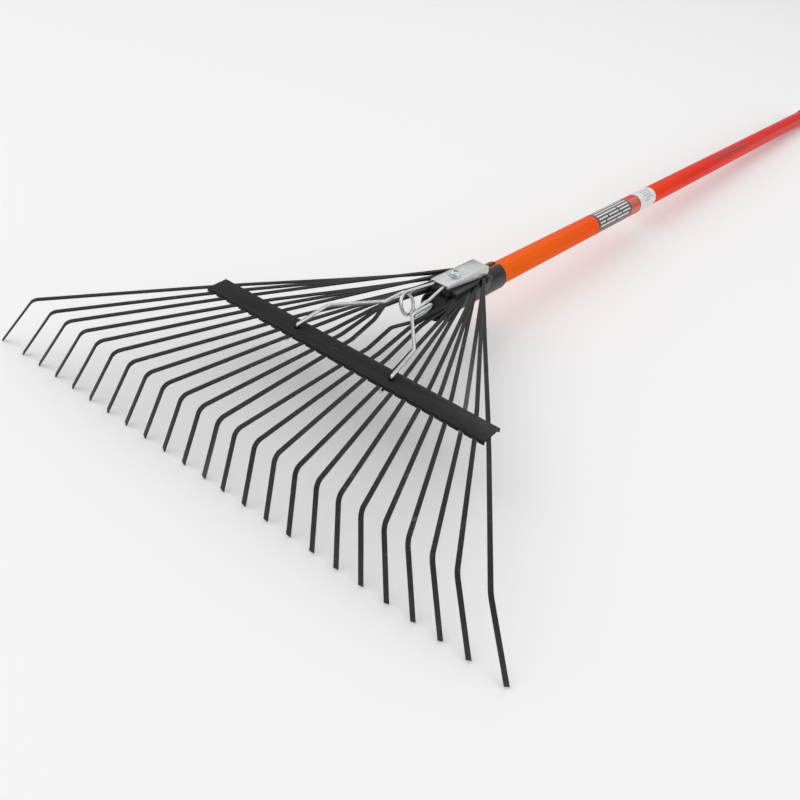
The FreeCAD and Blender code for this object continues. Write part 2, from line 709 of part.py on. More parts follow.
def is_flange_corner(edge, placement, flange_low):
    """True for the short edges across a flange at its two lower corners."""
    local = placement.inverse()
    ends = [local.multVec(vertex.Point) for vertex in edge.Vertexes]
    if len(ends) < 2:
        return False
    return (all(abs(end.z - flange_low) < TOUCH for end in ends)
            and abs(ends[0].x - ends[1].x) < TOUCH
            and abs(ends[0].y - ends[1].y) > TOUCH)


# ---------------------------------------------------------------- clamp bolt

def make_clamp_bolt(doc):
    """Pan-head bolt with a cross recess, through plate, cap, socket and handle."""
    body = new_body(doc, "clamp_bolt", LAY_PLACEMENT)
    seat = "sizes.plate_top + sizes.washer_gauge"
    for name, radius, low, high in (
        ("head", "sizes.bolt_head_dia / 2", seat, seat + " + sizes.bolt_head_height"),
        ("shank", "sizes.bolt_dia / 2", "sizes.bolt_end", seat + " + sizes.head_root"),
    ):
        sketch = new_sketch(body, "bolt_%s_outline" % name, "XY_Plane", low)
        circle(sketch, radius, "sizes.bolt_x", "0")
        pad(body, "bolt_" + name, sketch, "%s - (%s)" % (high, low))
        doc.recompute()
    recess = new_sketch(body, "bolt_recess_outline", "XY_Plane",
                        seat + " + sizes.bolt_head_height")
    arm = "sizes.recess_width / 2"
    tip = "sizes.recess_length / 2"
    centre = "sizes.bolt_x"
    closed_outline(recess, [
        (centre + " + " + tip, "-" + arm), (centre + " + " + tip, arm),
        (centre + " + " + arm, arm), (centre + " + " + arm, tip),
        (centre + " - " + arm, tip), (centre + " - " + arm, arm),
        (centre + " - " + tip, arm), (centre + " - " + tip, "-" + arm),
        (centre + " - " + arm, "-" + arm), (centre + " - " + arm, "-" + tip),
        (centre + " + " + arm, "-" + tip), (centre + " + " + arm, "-" + arm),
    ])
    pocket = body.newObject("PartDesign::Pocket", "bolt_recess")
    pocket.Profile = recess
    pocket.setExpression("Length", "sizes.recess_depth")
    return body


def make_washer(doc, label, low):
    """Flat washer on the bolt; low is an expression for its lower face."""
    body = new_body(doc, label, LAY_PLACEMENT)
    sketch = new_sketch(body, label + "_outline", "XY_Plane", low)
    circle(sketch, "sizes.washer_dia / 2", "sizes.bolt_x", "0")
    circle(sketch, "(sizes.bolt_dia + sizes.hole_clearance) / 2", "sizes.bolt_x", "0")
    pad(body, label + "_ring", sketch, "sizes.washer_gauge")
    return body


def make_lock_nut(doc):
    """Hexagonal lock nut under the socket."""
    body = new_body(doc, "lock_nut", LAY_PLACEMENT)
    top = "-(sizes.socket_dia / 2 + sizes.washer_gauge + sizes.nut_gap)"
    sketch = new_sketch(body, "nut_outline", "XY_Plane", "%s - sizes.nut_height" % top)
    corner = "sizes.nut_flats / 2 / cos(30)"
    closed_outline(sketch, [
        ("sizes.bolt_x + %s * cos(%d)" % (corner, angle), "%s * sin(%d)" % (corner, angle))
        for angle in range(0, 360, 60)
    ])
    circle(sketch, "sizes.bolt_dia / 2 + sizes.thread_gap", "sizes.bolt_x", "0")
    pad(body, "nut_body", sketch, "sizes.nut_height")
    return body


# ---------------------------------------------------------------- handle

def make_handle_tube(doc):
    """Glass-fibre tube, drilled for the clamp bolt."""
    body = new_body(doc, "handle_tube", LAY_PLACEMENT)
    ring = new_sketch(body, "tube_ring", "YZ_Plane", "sizes.handle_front")
    circle(ring, "sizes.handle_dia / 2")
    circle(ring, "sizes.handle_bore / 2")
    pad(body, "tube", ring, "sizes.handle_length")
    doc.recompute()
    hole = new_sketch(body, "tube_bolt_hole", "XY_Plane")
    circle(hole, "(sizes.bolt_dia + sizes.hole_clearance) / 2", "sizes.bolt_x", "0")
    cut_through(body, "tube_bolt_cut", hole)
    return body


def make_handle_plug(doc):
    """Moulded plug that closes the tube's front end ahead of the bolt."""
    body = new_body(doc, "handle_plug", LAY_PLACEMENT)
    disc = new_sketch(body, "plug_disc", "YZ_Plane", "sizes.handle_front")
    circle(disc, "sizes.plug_dia / 2")
    pad(body, "plug", disc, "sizes.plug_length")
    doc.recompute()
    rim = new_sketch(body, "plug_rim", "YZ_Plane", "sizes.handle_front - sizes.plug_flange")
    circle(rim, "sizes.handle_dia / 2")
    pad(body, "plug_head", rim, "sizes.plug_flange")
    return body


def make_end_cap(doc):
    """Soft cap over the handle's rear end, with a hang hole through its solid nose."""
    body = new_body(doc, "end_cap", LAY_PLACEMENT)
    rear = "sizes.handle_front + sizes.handle_length"
    profile = new_sketch(body, "end_cap_profile", "XY_Plane")
    inner = "sizes.handle_dia / 2 + sizes.fit_gap"
    closed_outline(profile, [
        (rear + " - sizes.cap_overlap", inner), (rear + " + sizes.cap_floor_gap", inner),
        (rear + " + sizes.cap_floor_gap", "0"),
        (rear + " + sizes.cap_nose", "0"),
        (rear + " + sizes.cap_nose", "sizes.cap_dia / 2 - sizes.cap_round"),
        (rear + " + sizes.cap_nose - 0.3 * sizes.cap_round",
         "sizes.cap_dia / 2 - 0.3 * sizes.cap_round"),
        (rear + " + sizes.cap_nose - sizes.cap_round", "sizes.cap_dia / 2"),
        (rear + " - sizes.cap_overlap + sizes.cap_lip", "sizes.cap_dia / 2"),
        (rear + " - sizes.cap_overlap", "sizes.cap_dia / 2 - sizes.cap_lip"),
    ])
    revolve(body, "cap_shell", profile)
    doc.recompute()
    hole = new_sketch(body, "hang_hole_outline", "XZ_Plane")
    circle(hole, "sizes.hang_hole_dia / 2", rear + " + sizes.cap_nose / 2", "0")
    cut_through(body, "hang_hole", hole)
    return body


# ---------------------------------------------------------------- whole rake

def lay_on_ground(doc, sheet, tines, end_cap):
    """Pitch, lift and centre the rake from the measured tips and end cap."""
    for _ in range(3):
        low_tip = min(tines, key=lambda tine: tine.Shape.BoundBox.ZMin).Shape.BoundBox
        rear = end_cap.Shape.BoundBox
        drop = math.degrees((low_tip.ZMin - rear.ZMin) / (rear.XMax - low_tip.XMin))
        sheet.set(sheet.getCellFromAlias("lay_angle"), "%.5f" % (sheet.lay_angle - drop))
        doc.recompute()
    front = min(tine.Shape.BoundBox.XMin for tine in tines)
    low = min(item.Shape.BoundBox.ZMin for item in tines + [end_cap])
    shift = sheet.lay_shift - (front + end_cap.Shape.BoundBox.XMax) / 2
    sheet.set(sheet.getCellFromAlias("lay_shift"), "%.5f" % shift)
    sheet.set(sheet.getCellFromAlias("lay_lift"), "%.5f" % (sheet.lay_lift - low))
    doc.recompute()


def check_document(doc, subparts):
    """Stop on any failed feature or unusable sub-part."""
    for item in doc.Objects:
        if "Invalid" in item.State or "Error" in item.State:
            raise RuntimeError("%s failed: %s" % (item.Name, item.State))
    for subpart in subparts:
        if subpart.Shape.isNull() or not subpart.Shape.isValid():
            raise RuntimeError("%s has no valid shape" % subpart.Label)


def main():
    """Build the rake and write one STEP file per sub-part."""
    doc = FreeCAD.newDocument("leaf_rake")
    sheet = fill_sheet(doc)
    tines = make_tines(doc, sheet)
    end_cap = make_end_cap(doc)
    doc.recompute()
    lay_on_ground(doc, sheet, tines, end_cap)
    subparts = tines + [
        make_spreader_bar(doc, sheet),
        make_spreader_strip(doc),
        make_brace(doc, sheet, "brace_left", 1),
        make_brace(doc, sheet, "brace_right", -1),
        make_socket(doc),
        make_tine_cap(doc),
        make_clamp_plate(doc, sheet),
        make_clamp_bolt(doc),
        make_washer(doc, "head_washer", "sizes.plate_top"),
        make_washer(doc, "nut_washer", "-(sizes.socket_dia / 2 + sizes.washer_gauge + sizes.fit_gap)"),
        make_lock_nut(doc),
        make_handle_tube(doc),
        make_handle_plug(doc),
        end_cap,
    ]
    doc.recompute()
    check_document(doc, subparts)
    os.makedirs("parts", exist_ok=True)
    for subpart in subparts:
        subpart.Shape.exportStep("parts/%s.step" % subpart.Label)
        print(subpart.Label, round(subpart.Shape.Volume), len(subpart.Shape.Solids))


main()
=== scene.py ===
"""Finished leaf rake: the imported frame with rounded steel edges, modelled fasteners, labels and finishes.

Lengths are in metres in the frame's own axes: +X runs to the grip end, +Y to the left of the fan
and +Z up. The handle's own line is read from the tube, and pieces on it are placed along that line.
"""

import logging
import math
from contextlib import contextmanager
from dataclasses import dataclass, field
from enum import Enum
from typing import Callable, Iterator, Sequence

import bpy
from mathutils import Euler, Matrix, Vector

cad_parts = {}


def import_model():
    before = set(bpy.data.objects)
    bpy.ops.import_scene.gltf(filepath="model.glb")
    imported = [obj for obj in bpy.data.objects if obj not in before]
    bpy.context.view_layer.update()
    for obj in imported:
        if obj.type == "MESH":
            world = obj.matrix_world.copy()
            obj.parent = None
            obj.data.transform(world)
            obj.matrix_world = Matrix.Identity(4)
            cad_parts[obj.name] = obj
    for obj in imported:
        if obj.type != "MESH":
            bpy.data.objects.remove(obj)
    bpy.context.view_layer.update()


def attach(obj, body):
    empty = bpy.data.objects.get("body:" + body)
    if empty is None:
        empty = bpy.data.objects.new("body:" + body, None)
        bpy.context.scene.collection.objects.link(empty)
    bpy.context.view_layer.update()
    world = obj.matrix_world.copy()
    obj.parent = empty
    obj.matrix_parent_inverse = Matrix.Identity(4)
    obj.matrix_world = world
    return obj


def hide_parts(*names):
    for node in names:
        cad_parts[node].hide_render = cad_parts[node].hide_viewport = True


LOG = logging.getLogger("leaf_rake")
MM = 0.001
MERGE_DISTANCE = 0.002 * MM
FLAT_TURN = math.radians(0.5)
HANDLE_LEAN = math.radians(1.7)
RING_REACH = 6 * MM
INK_GAP = 0.01 * MM
Colour = tuple[float, float, float, float]
FaceTest = Callable[[Vector, Vector], bool]
BarRow = tuple[float, Sequence[tuple[float, float]]]


class Slot(Enum):
    """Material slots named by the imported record."""

    TINE = "tine_steel"
    BAR = "bar_paint"
    SOCKET = "socket_paint"
    WIRE = "zinc_wire"
    PLATE = "zinc_plate"
    FASTENER = "zinc_fastener"
    HANDLE = "handle_orange"
    PLUG = "plug_black"
    CAP = "cap_black"


# ------------------------------------------------------------------ modelling helpers


def deselect_all() -> None:
    """Leave nothing selected, so that an operator acts only on what is chosen next."""
    bpy.ops.object.select_all(action="DESELECT")


def make_active(piece: bpy.types.Object) -> None:
    """Select one object alone and make it active."""
    deselect_all()
    piece.select_set(True)
    bpy.context.view_layer.objects.active = piece


@contextmanager
def edit_mode(piece: bpy.types.Object, everything: bool = False) -> Iterator[None]:
    """Enter edit mode on one object and leave it again.

    Args:
        piece: The object to edit.
        everything: Select the whole mesh on entry; otherwise the selection made before is kept.
    """
    make_active(piece)
    bpy.ops.object.mode_set(mode="EDIT")
    if everything:
        bpy.ops.mesh.select_all(action="SELECT")
    yield
    bpy.ops.object.mode_set(mode="OBJECT")


def choose_faces(piece: bpy.types.Object, test: FaceTest) -> None:
    """Select the faces that pass a test on their centre and normal, and nothing else.

    Args:
        piece: The object whose faces are chosen.
        test: Called with a face's centre and normal.
    """
    make_active(piece)
    bpy.ops.object.mode_set(mode="EDIT")
    bpy.ops.mesh.select_mode(type="FACE")
    bpy.ops.mesh.select_all(action="DESELECT")
    bpy.ops.object.mode_set(mode="OBJECT")
    for face in piece.data.polygons:
        face.select = test(face.center, face.normal)


def apply_modifier(piece: bpy.types.Object, kind: str, **settings: object) -> None:
    """Add one modifier and apply it at once.

    Args:
        piece: The object to modify.
        kind: The modifier's type.
        settings: Values for the modifier's own properties.
    """
    make_active(piece)
    modifier = piece.modifiers.new(kind.title(), kind)
    for name, value in settings.items():
        setattr(modifier, name, value)
    bpy.ops.object.modifier_apply(modifier=modifier.name)


def round_edges(piece: bpy.types.Object, width: float, segments: int = 2, angle: float = 35.0) -> None:
    """Round the edges sharper than an angle.

    Args:
        piece: The object to round.
        width: Width of the rounding in metres.
        segments: Faces across each rounding.
        angle: Edges that turn by less than this many degrees stay as they are.
    """
    apply_modifier(
        piece,
        "BEVEL",
        width=width,
        segments=segments,
        limit_method="ANGLE",
        angle_limit=math.radians(angle),
        use_clamp_overlap=True,
    )


def smooth(piece: bpy.types.Object, angle: float = 38.0) -> None:
    """Shade faces smooth across edges that turn by less than an angle in degrees."""
    make_active(piece)
    bpy.ops.object.shade_smooth_by_angle(angle=math.radians(angle))


def settle(piece: bpy.types.Object, name: str, place: Matrix | None = None) -> bpy.types.Object:
    """Name a piece, move its mesh to its place and leave its object untransformed at the origin.

    Args:
        piece: The object to settle.
        name: Its name from here on.
        place: Matrix that its mesh is moved by, after the object's own.

    Returns:
        The same object.
    """
    piece.name = name
    piece.data.name = name
    bpy.context.view_layer.update()
    piece.data.transform((place or Matrix.Identity(4)) @ piece.matrix_world)
    piece.matrix_world = Matrix.Identity(4)
    return piece


def join(pieces: Sequence[bpy.types.Object], name: str) -> bpy.types.Object:
    """Make several settled objects one.

    Args:
        pieces: The objects; the first one stays.
        name: Name of the joined object.

    Returns:
        The joined object.
    """
    make_active(pieces[0])
    for piece in pieces:
        piece.select_set(True)
    bpy.ops.object.join()
    pieces[0].name = name
    pieces[0].data.name = name
    return pieces[0]


def cylinder(radius: float, length: float, middle: Vector, sides: int = 48) -> bpy.types.Object:
    """Add a cylinder that stands along Z.

    Args:
        radius: Its radius.
        length: Its height along Z.
        middle: Its centre.
        sides: Number of its faces round Z.

    Returns:
        The new object.
    """
    deselect_all()
    bpy.ops.mesh.primitive_cylinder_add(
        vertices=sides, radius=radius, depth=length, location=middle
    )
    return bpy.context.active_object


def refined_copy(node: str, name: str, rounding: float, segments: int = 2) -> bpy.types.Object:
    """Copy a frame node, merge its loose triangles and round its edges.

    Args:
        node: The frame node to stand for.
        name: Name of the new piece.
        rounding: Width of the edge rounding in metres.
        segments: Faces across each rounding.

    Returns:
        The new piece, which replaces the node.
    """
    source = bpy.data.objects[node]
    piece = bpy.data.objects.new(name, source.data.copy())
    piece.data.name = name
    bpy.context.scene.collection.objects.link(piece)
    make_active(piece)
    bpy.ops.mesh.customdata_custom_splitnormals_clear()
    with edit_mode(piece, everything=True):
        bpy.ops.mesh.remove_doubles(threshold=MERGE_DISTANCE)
        bpy.ops.mesh.dissolve_limited(angle_limit=FLAT_TURN)
        bpy.ops.mesh.normals_make_consistent(inside=False)
    if rounding:
        round_edges(piece, rounding, segments)
    smooth(piece)
    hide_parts(node)
    return piece


def finish_piece(piece: bpy.types.Object, material: bpy.types.Material, slot: Slot) -> None:
    """Give a piece its material, log the record slot that it belongs to, and let it ride with the rake.

    Args:
        piece: The finished piece.
        material: Its only material.
        slot: The material slot that the record names for it.
    """
    piece.data.materials.clear()
    piece.data.materials.append(material)
    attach(piece, "root")
    LOG.info("%s: %d faces, %s", piece.name, len(piece.data.polygons), slot.value)


@dataclass(frozen=True)
class HandleLine:
    """The handle's centre line, from the front end of its tube to the rear."""

    front: Vector
    rear: Vector
    front_station: float = 311 * MM

    @property
    def direction(self) -> Vector:
        """Unit vector towards the grip end."""
        return (self.rear - self.front).normalized()

    @property
    def up(self) -> Vector:
        """Unit vector square to the line, in the rake's middle plane."""
        return self.direction.cross(Vector((0, 1, 0))).normalized()

    def place(self, station: float = 0.0) -> Matrix:
        """Find the matrix that puts a piece on the line.

        Args:
            station: Distance behind the bend line of the tines, along the handle.

        Returns:
            The matrix that takes X along the line, Z up from it and the origin to the station.
        """
        matrix = Matrix((self.direction, Vector((0, 1, 0)), self.up)).transposed().to_4x4()
        matrix.translation = self.front + self.direction * (station - self.front_station)
        return matrix


def box_middle(points: Sequence[Vector]) -> Vector:
    """Find the middle of the box round some points.

    Args:
        points: The points.

    Returns:
        The box's centre.
    """
    low = Vector(min(point[i] for point in points) for i in range(3))
    high = Vector(max(point[i] for point in points) for i in range(3))
    return (low + high) / 2


def read_handle_line() -> HandleLine:
    """Find the handle's line from the rings of points at the two ends of its tube.

    Returns:
        The line through the middles of the two rings.
    """
    points = [vertex.co for vertex in bpy.data.objects["handle_tube"].data.vertices]
    rough = Vector((1, 0, -math.tan(HANDLE_LEAN))).normalized()
    first = min(point.dot(rough) for point in points) + RING_REACH
    last = max(point.dot(rough) for point in points) - RING_REACH
    return HandleLine(
        box_middle([point for point in points if point.dot(rough) < first]),
        box_middle([point for point in points if point.dot(rough) > last]),
    )


# ------------------------------------------------------------------ shader helpers


class NodeBuilder:
    """Adds nodes to one tree and feeds their sockets."""

    def __init__(self, tree: bpy.types.NodeTree) -> None:
        """Keep the tree that the nodes go into."""
        self.tree = tree

    def feed(self, value: object, socket: bpy.types.NodeSocket) -> None:
        """Link a socket, or set a plain value."""
        if isinstance(value, bpy.types.NodeSocket):
            self.tree.links.new(value, socket)
        else:
            socket.default_value = value

    def node(self, kind: str, inputs: dict[str, object], **settings: object) -> bpy.types.Node:
        """Add a node.

        Args:
            kind: The node's type.
            inputs: A value or a socket for each named input; a socket is linked.
            settings: Values for the node's own properties.

        Returns:
            The new node.
        """
        made = self.tree.nodes.new(kind)
        for name, value in settings.items():
            setattr(made, name, value)
        for name, value in inputs.items():
            self.feed(value, made.inputs[name])
        return made


class Shader(NodeBuilder):
    """Node tree of one material, with its surface shader ready to be fed."""

    def __init__(self, name: str) -> None:
        """Start a material under a name."""
        self.material = bpy.data.materials.new(name)
        self.material.use_nodes = True
        super().__init__(self.material.node_tree)
        self.surface = self.tree.nodes["Principled BSDF"]
        self.coordinates = self.tree.nodes.new("ShaderNodeTexCoord").outputs["Object"]

    def fix(self, **sockets: object) -> None:
        """Set constant values on the surface shader; underscores in names stand for spaces."""
        for name, value in sockets.items():
            self.surface.inputs[name.replace("_", " ")].default_value = value

    def stretched(self, scale: tuple[float, float, float]) -> bpy.types.NodeSocket:
        """Object coordinates scaled along each axis."""
        mapping = self.node("ShaderNodeMapping", {"Vector": self.coordinates})
        mapping.inputs["Scale"].default_value = scale
        return mapping.outputs["Vector"]

    def group(self, tree: bpy.types.NodeTree, **inputs: object) -> bpy.types.Node:
        """Place a shared group with its own values."""
        return self.node("ShaderNodeGroup", inputs, node_tree=tree)

    def mix(self, factor: object, low: object, high: object) -> bpy.types.NodeSocket:
        """Mix two colours.

        Args:
            factor: Share of the second colour, a value or a socket.
            low: The first colour, a value or a socket.
            high: The second colour, a value or a socket.

        Returns:
            The mixed colour's socket.
        """
        made = self.tree.nodes.new("ShaderNodeMix")
        made.data_type = "RGBA"
        self.feed(factor, made.inputs[0])
        self.feed(low, made.inputs[6])
        self.feed(high, made.inputs[7])
        return made.outputs[2]

    def bump(self, height: bpy.types.NodeSocket, strength: float, distance: float) -> None:
        """Feed the surface's normal from a height.

        Args:
            height: Socket that gives the height.
            strength: How strongly the bumps show.
            distance: Height of a full bump in metres.
        """
        made = self.node("ShaderNodeBump", {"Height": height})
        made.inputs["Strength"].default_value = strength
        made.inputs["Distance"].default_value = distance
        self.tree.links.new(made.outputs["Normal"], self.surface.inputs["Normal"])

    def colour(self, source: bpy.types.NodeSocket) -> None:
        """Feed the base colour."""
        self.tree.links.new(source, self.surface.inputs["Base Color"])

    def roughness(self, source: bpy.types.NodeSocket) -> None:
        """Feed the roughness."""
        self.tree.links.new(source, self.surface.inputs["Roughness"])


class GroupMaker(NodeBuilder):
    """One shared node group under construction."""

    def __init__(self, name: str, inputs: dict[str, tuple[str, object]], outputs: dict[str, str]) -> None:
        """Start a group.

        Args:
            name: Name of the group.
            inputs: Socket type and default value for each named input.
            outputs: Socket type for each named output.
        """
        super().__init__(bpy.data.node_groups.new(name, "ShaderNodeTree"))
        for label, (kind, value) in inputs.items():
            socket = self.tree.interface.new_socket(label, in_out="INPUT", socket_type=kind)
            if value is not None:
                socket.default_value = value
        for label, kind in outputs.items():
            self.tree.interface.new_socket(label, in_out="OUTPUT", socket_type=kind)
        self.entry = self.tree.nodes.new("NodeGroupInput")
        self.exit = self.tree.nodes.new("NodeGroupOutput")

    def math(self, operation: str, first: object, second: object) -> bpy.types.NodeSocket:
        """Combine two values.

        Args:
            operation: The operation's name.
            first: A value or a socket.
            second: A value or a socket.

        Returns:
            The result's socket.
        """
        made = self.tree.nodes.new("ShaderNodeMath")
        made.operation = operation
        self.feed(first, made.inputs[0])
        self.feed(second, made.inputs[1])
        return made.outputs[0]

    def output(self, **sources: bpy.types.NodeSocket) -> None:
        """Link the group's outputs."""
        for name, source in sources.items():
            self.tree.links.new(source, self.exit.inputs[name])


FLOAT = "NodeSocketFloat"
VECTOR = "NodeSocketVector"


def make_grain_group() -> bpy.types.NodeTree:
    """Fine surface grain: a roughness that wanders a little, and a height for bumps."""
    maker = GroupMaker(
        "surface_grain",
        {
            "Vector": (VECTOR, None),
            "Scale": (FLOAT, 300.0),
            "Roughness": (FLOAT, 0.4),
            "Spread": (FLOAT, 0.1),
        },
        {"Roughness": FLOAT, "Height": FLOAT},
    )
    entry = maker.entry.outputs
    broad = maker.node(
        "ShaderNodeTexNoise",
        {"Vector": entry["Vector"], "Scale": maker.math("MULTIPLY", entry["Scale"], 0.12), "Detail": 4.0},
    ).outputs[0]
    fine = maker.node(
        "ShaderNodeTexNoise",
        {"Vector": entry["Vector"], "Scale": entry["Scale"], "Detail": 6.0, "Roughness": 0.6},
    ).outputs[0]
    blend = maker.math("ADD", maker.math("MULTIPLY", broad, 0.6), maker.math("MULTIPLY", fine, 0.4))
    wander = maker.math("MULTIPLY", maker.math("SUBTRACT", blend, 0.5), entry["Spread"])
    doubled = maker.math("MULTIPLY", wander, 2.0)
    maker.output(Roughness=maker.math("ADD", entry["Roughness"], doubled), Height=fine)
    return maker.tree


def make_scuff_group() -> bpy.types.NodeTree:
    """Short thin rub marks: a mask that is one inside a mark."""
    maker = GroupMaker(
        "rub_marks",
        {"Vector": (VECTOR, None), "Scale": (FLOAT, 400.0), "Coverage": (FLOAT, 0.1)},
        {"Mask": FLOAT},
    )
    entry = maker.entry.outputs
    marks = maker.node(
        "ShaderNodeTexNoise",
        {"Vector": entry["Vector"], "Scale": entry["Scale"], "Detail": 3.0, "Distortion": 0.3},
    ).outputs[0]
    patches = maker.node(
        "ShaderNodeTexNoise",
        {"Vector": entry["Vector"], "Scale": maker.math("MULTIPLY", entry["Scale"], 0.08), "Detail": 2.0},
    ).outputs[0]
    both = maker.math("MULTIPLY", marks, maker.math("ADD", patches, 0.5))
    start = maker.math("SUBTRACT", 0.72, maker.math("MULTIPLY", entry["Coverage"], 0.5))
    over = maker.math("MULTIPLY", maker.math("SUBTRACT", both, start), 9.0)
    maker.output(Mask=maker.math("MINIMUM", maker.math("MAXIMUM", over, 0.0), 1.0))
    return maker.tree


def make_edge_group() -> bpy.types.NodeTree:
    """Bare edges: a mask that is one where the surface is sharply convex and the finish has worn."""
    maker = GroupMaker(
        "edge_wear",
        {"Vector": (VECTOR, None), "Scale": (FLOAT, 200.0), "Start": (FLOAT, 0.54)},
        {"Mask": FLOAT},
    )
    entry = maker.entry.outputs
    convex = maker.node("ShaderNodeNewGeometry", {}).outputs["Pointiness"]
    patches = maker.node(
        "ShaderNodeTexNoise", {"Vector": entry["Vector"], "Scale": entry["Scale"], "Detail": 4.0}
    ).outputs[0]
    edge = maker.math("MULTIPLY", maker.math("SUBTRACT", convex, entry["Start"]), 14.0)
    worn = maker.math("MULTIPLY", edge, maker.math("MULTIPLY", patches, 1.6))
    maker.output(Mask=maker.math("MINIMUM", maker.math("MAXIMUM", worn, 0.0), 1.0))
    return maker.tree


def make_spangle_group() -> bpy.types.NodeTree:
    """Zinc crystals: soft cells whose tone differs from one to the next."""
    maker = GroupMaker(
        "zinc_spangle",
        {"Vector": (VECTOR, None), "Scale": (FLOAT, 260.0), "Strength": (FLOAT, 0.2)},
        {"Tone": FLOAT, "Height": FLOAT},
    )
    entry = maker.entry.outputs
    cells = maker.node("ShaderNodeTexVoronoi", {"Vector": entry["Vector"], "Scale": entry["Scale"]})
    bright = maker.node("ShaderNodeSeparateColor", {"Color": cells.outputs["Color"]}).outputs[0]
    cloud = maker.node(
        "ShaderNodeTexNoise",
        {"Vector": entry["Vector"], "Scale": maker.math("MULTIPLY", entry["Scale"], 0.3), "Detail": 5.0},
    ).outputs[0]
    tone = maker.math("ADD", maker.math("MULTIPLY", bright, 0.5), maker.math("MULTIPLY", cloud, 0.5))
    maker.output(Tone=maker.math("MULTIPLY", tone, entry["Strength"]), Height=tone)
    return maker.tree


@dataclass
class Effects:
    """The node groups that the finishes share."""

    grain: bpy.types.NodeTree = field(default_factory=make_grain_group)
    scuffs: bpy.types.NodeTree = field(default_factory=make_scuff_group)
    edges: bpy.types.NodeTree = field(default_factory=make_edge_group)
    spangle: bpy.types.NodeTree = field(default_factory=make_spangle_group)


# ------------------------------------------------------------------ finishes


@dataclass(frozen=True)
class PaintedSteel:
    """Black paint or temper scale on steel, rubbed and worn along its edges."""

    name: str
    dark: Colour
    light: Colour
    rubbed: Colour
    roughness: float
    spread: float
    coat: float
    gloss: float
    coverage: float
    edge_start: float

    def build(self, effects: Effects) -> bpy.types.Material:
        """Make the material.

        Args:
            effects: The node groups that the finishes share.

        Returns:
            The material.
        """
        shader = Shader(self.name)
        broad = shader.node(
            "ShaderNodeTexNoise", {"Vector": shader.coordinates, "Scale": 45.0, "Detail": 5.0}
        )
        grain = shader.group(
            effects.grain,
            Vector=shader.coordinates,
            Scale=1400.0,
            Roughness=self.roughness,
            Spread=self.spread,
        )
        rubs = shader.group(
            effects.scuffs,
            Vector=shader.stretched((0.35, 1.0, 1.0)),
            Scale=420.0,
            Coverage=self.coverage,
        )
        edges = shader.group(effects.edges, Vector=shader.coordinates, Scale=260.0, Start=self.edge_start)
        base = shader.mix(broad.outputs[0], self.dark, self.light)
        rubbed = shader.mix(rubs.outputs["Mask"], base, self.rubbed)
        shader.colour(shader.mix(edges.outputs["Mask"], rubbed, self.rubbed))
        shader.roughness(grain.outputs["Roughness"])
        shader.bump(grain.outputs["Height"], 0.35, 0.00004)
        shader.fix(
            Metallic=0.0,
            Coat_Weight=self.coat,
            Coat_Roughness=0.18,
            Specular_IOR_Level=self.gloss,
        )
        return shader.material


@dataclass(frozen=True)
class ZincPlating:
    """Bright zinc plating with faint crystals and drawing lines."""

    name: str
    tone: Colour
    shade: Colour
    roughness: float
    spread: float
    lines: tuple[float, float, float]
    crystal_scale: float

    def build(self, effects: Effects) -> bpy.types.Material:
        """Make the material.

        Args:
            effects: The node groups that the finishes share.

        Returns:
            The material.
        """
        shader = Shader(self.name)
        crystals = shader.group(
            effects.spangle, Vector=shader.coordinates, Scale=self.crystal_scale, Strength=1.0
        )
        drawn = shader.group(
            effects.grain,
            Vector=shader.stretched(self.lines),
            Scale=900.0,
            Roughness=self.roughness,
            Spread=self.spread,
        )
        spots = shader.group(effects.scuffs, Vector=shader.coordinates, Scale=700.0, Coverage=0.12)
        tone = shader.mix(crystals.outputs["Tone"], self.shade, self.tone)
        shader.colour(shader.mix(spots.outputs["Mask"], tone, self.shade))
        shader.roughness(drawn.outputs["Roughness"])
        shader.bump(drawn.outputs["Height"], 0.25, 0.00003)
        shader.fix(Metallic=1.0)
        return shader.material


@dataclass(frozen=True)
class GelCoat:
    """Glossy pigmented resin over lengthwise glass fibres, warm at the socket and red at the grip end."""

    name: str
    stops: tuple[tuple[float, Colour], ...]
    start: float
    end: float

    def build(self, effects: Effects) -> bpy.types.Material:
        """Make the material.

        Args:
            effects: The node groups that the finishes share.

        Returns:
            The material.
        """
        shader = Shader(self.name)
        split = shader.node("ShaderNodeSeparateXYZ", {"Vector": shader.coordinates})
        along = shader.node(
            "ShaderNodeMapRange",
            {"Value": split.outputs["X"], "From Min": self.start, "From Max": self.end},
        )
        ramp = shader.node("ShaderNodeValToRGB", {"Fac": along.outputs[0]})
        elements = ramp.color_ramp.elements
        while len(elements) < len(self.stops):
            elements.new(0.5)
        for element, (position, colour) in zip(elements, self.stops):
            element.position = position
            element.color = colour
        fibres = shader.node(
            "ShaderNodeTexNoise",
            {"Vector": shader.stretched((0.02, 1.0, 1.0)), "Scale": 900.0, "Detail": 6.0, "Roughness": 0.6},
        )
        marks = shader.group(
            effects.scuffs, Vector=shader.stretched((0.2, 1.0, 1.0)), Scale=260.0, Coverage=0.06
        )
        grain = shader.group(
            effects.grain, Vector=shader.coordinates, Scale=500.0, Roughness=0.33, Spread=0.08
        )
        deep = shader.node(
            "ShaderNodeHueSaturation", {"Color": ramp.outputs["Color"], "Value": 0.82, "Saturation": 1.0}
        )
        streaked = shader.mix(fibres.outputs[0], deep.outputs["Color"], ramp.outputs["Color"])
        dulled = shader.node(
            "ShaderNodeHueSaturation", {"Color": streaked, "Value": 0.9, "Saturation": 0.92}
        )
        shader.colour(shader.mix(marks.outputs["Mask"], streaked, dulled.outputs["Color"]))
        shader.roughness(grain.outputs["Roughness"])
        shader.bump(fibres.outputs[0], 0.12, 0.00003)
        shader.fix(Coat_Weight=0.06, Coat_Roughness=0.25, Specular_IOR_Level=0.03)
        return shader.material


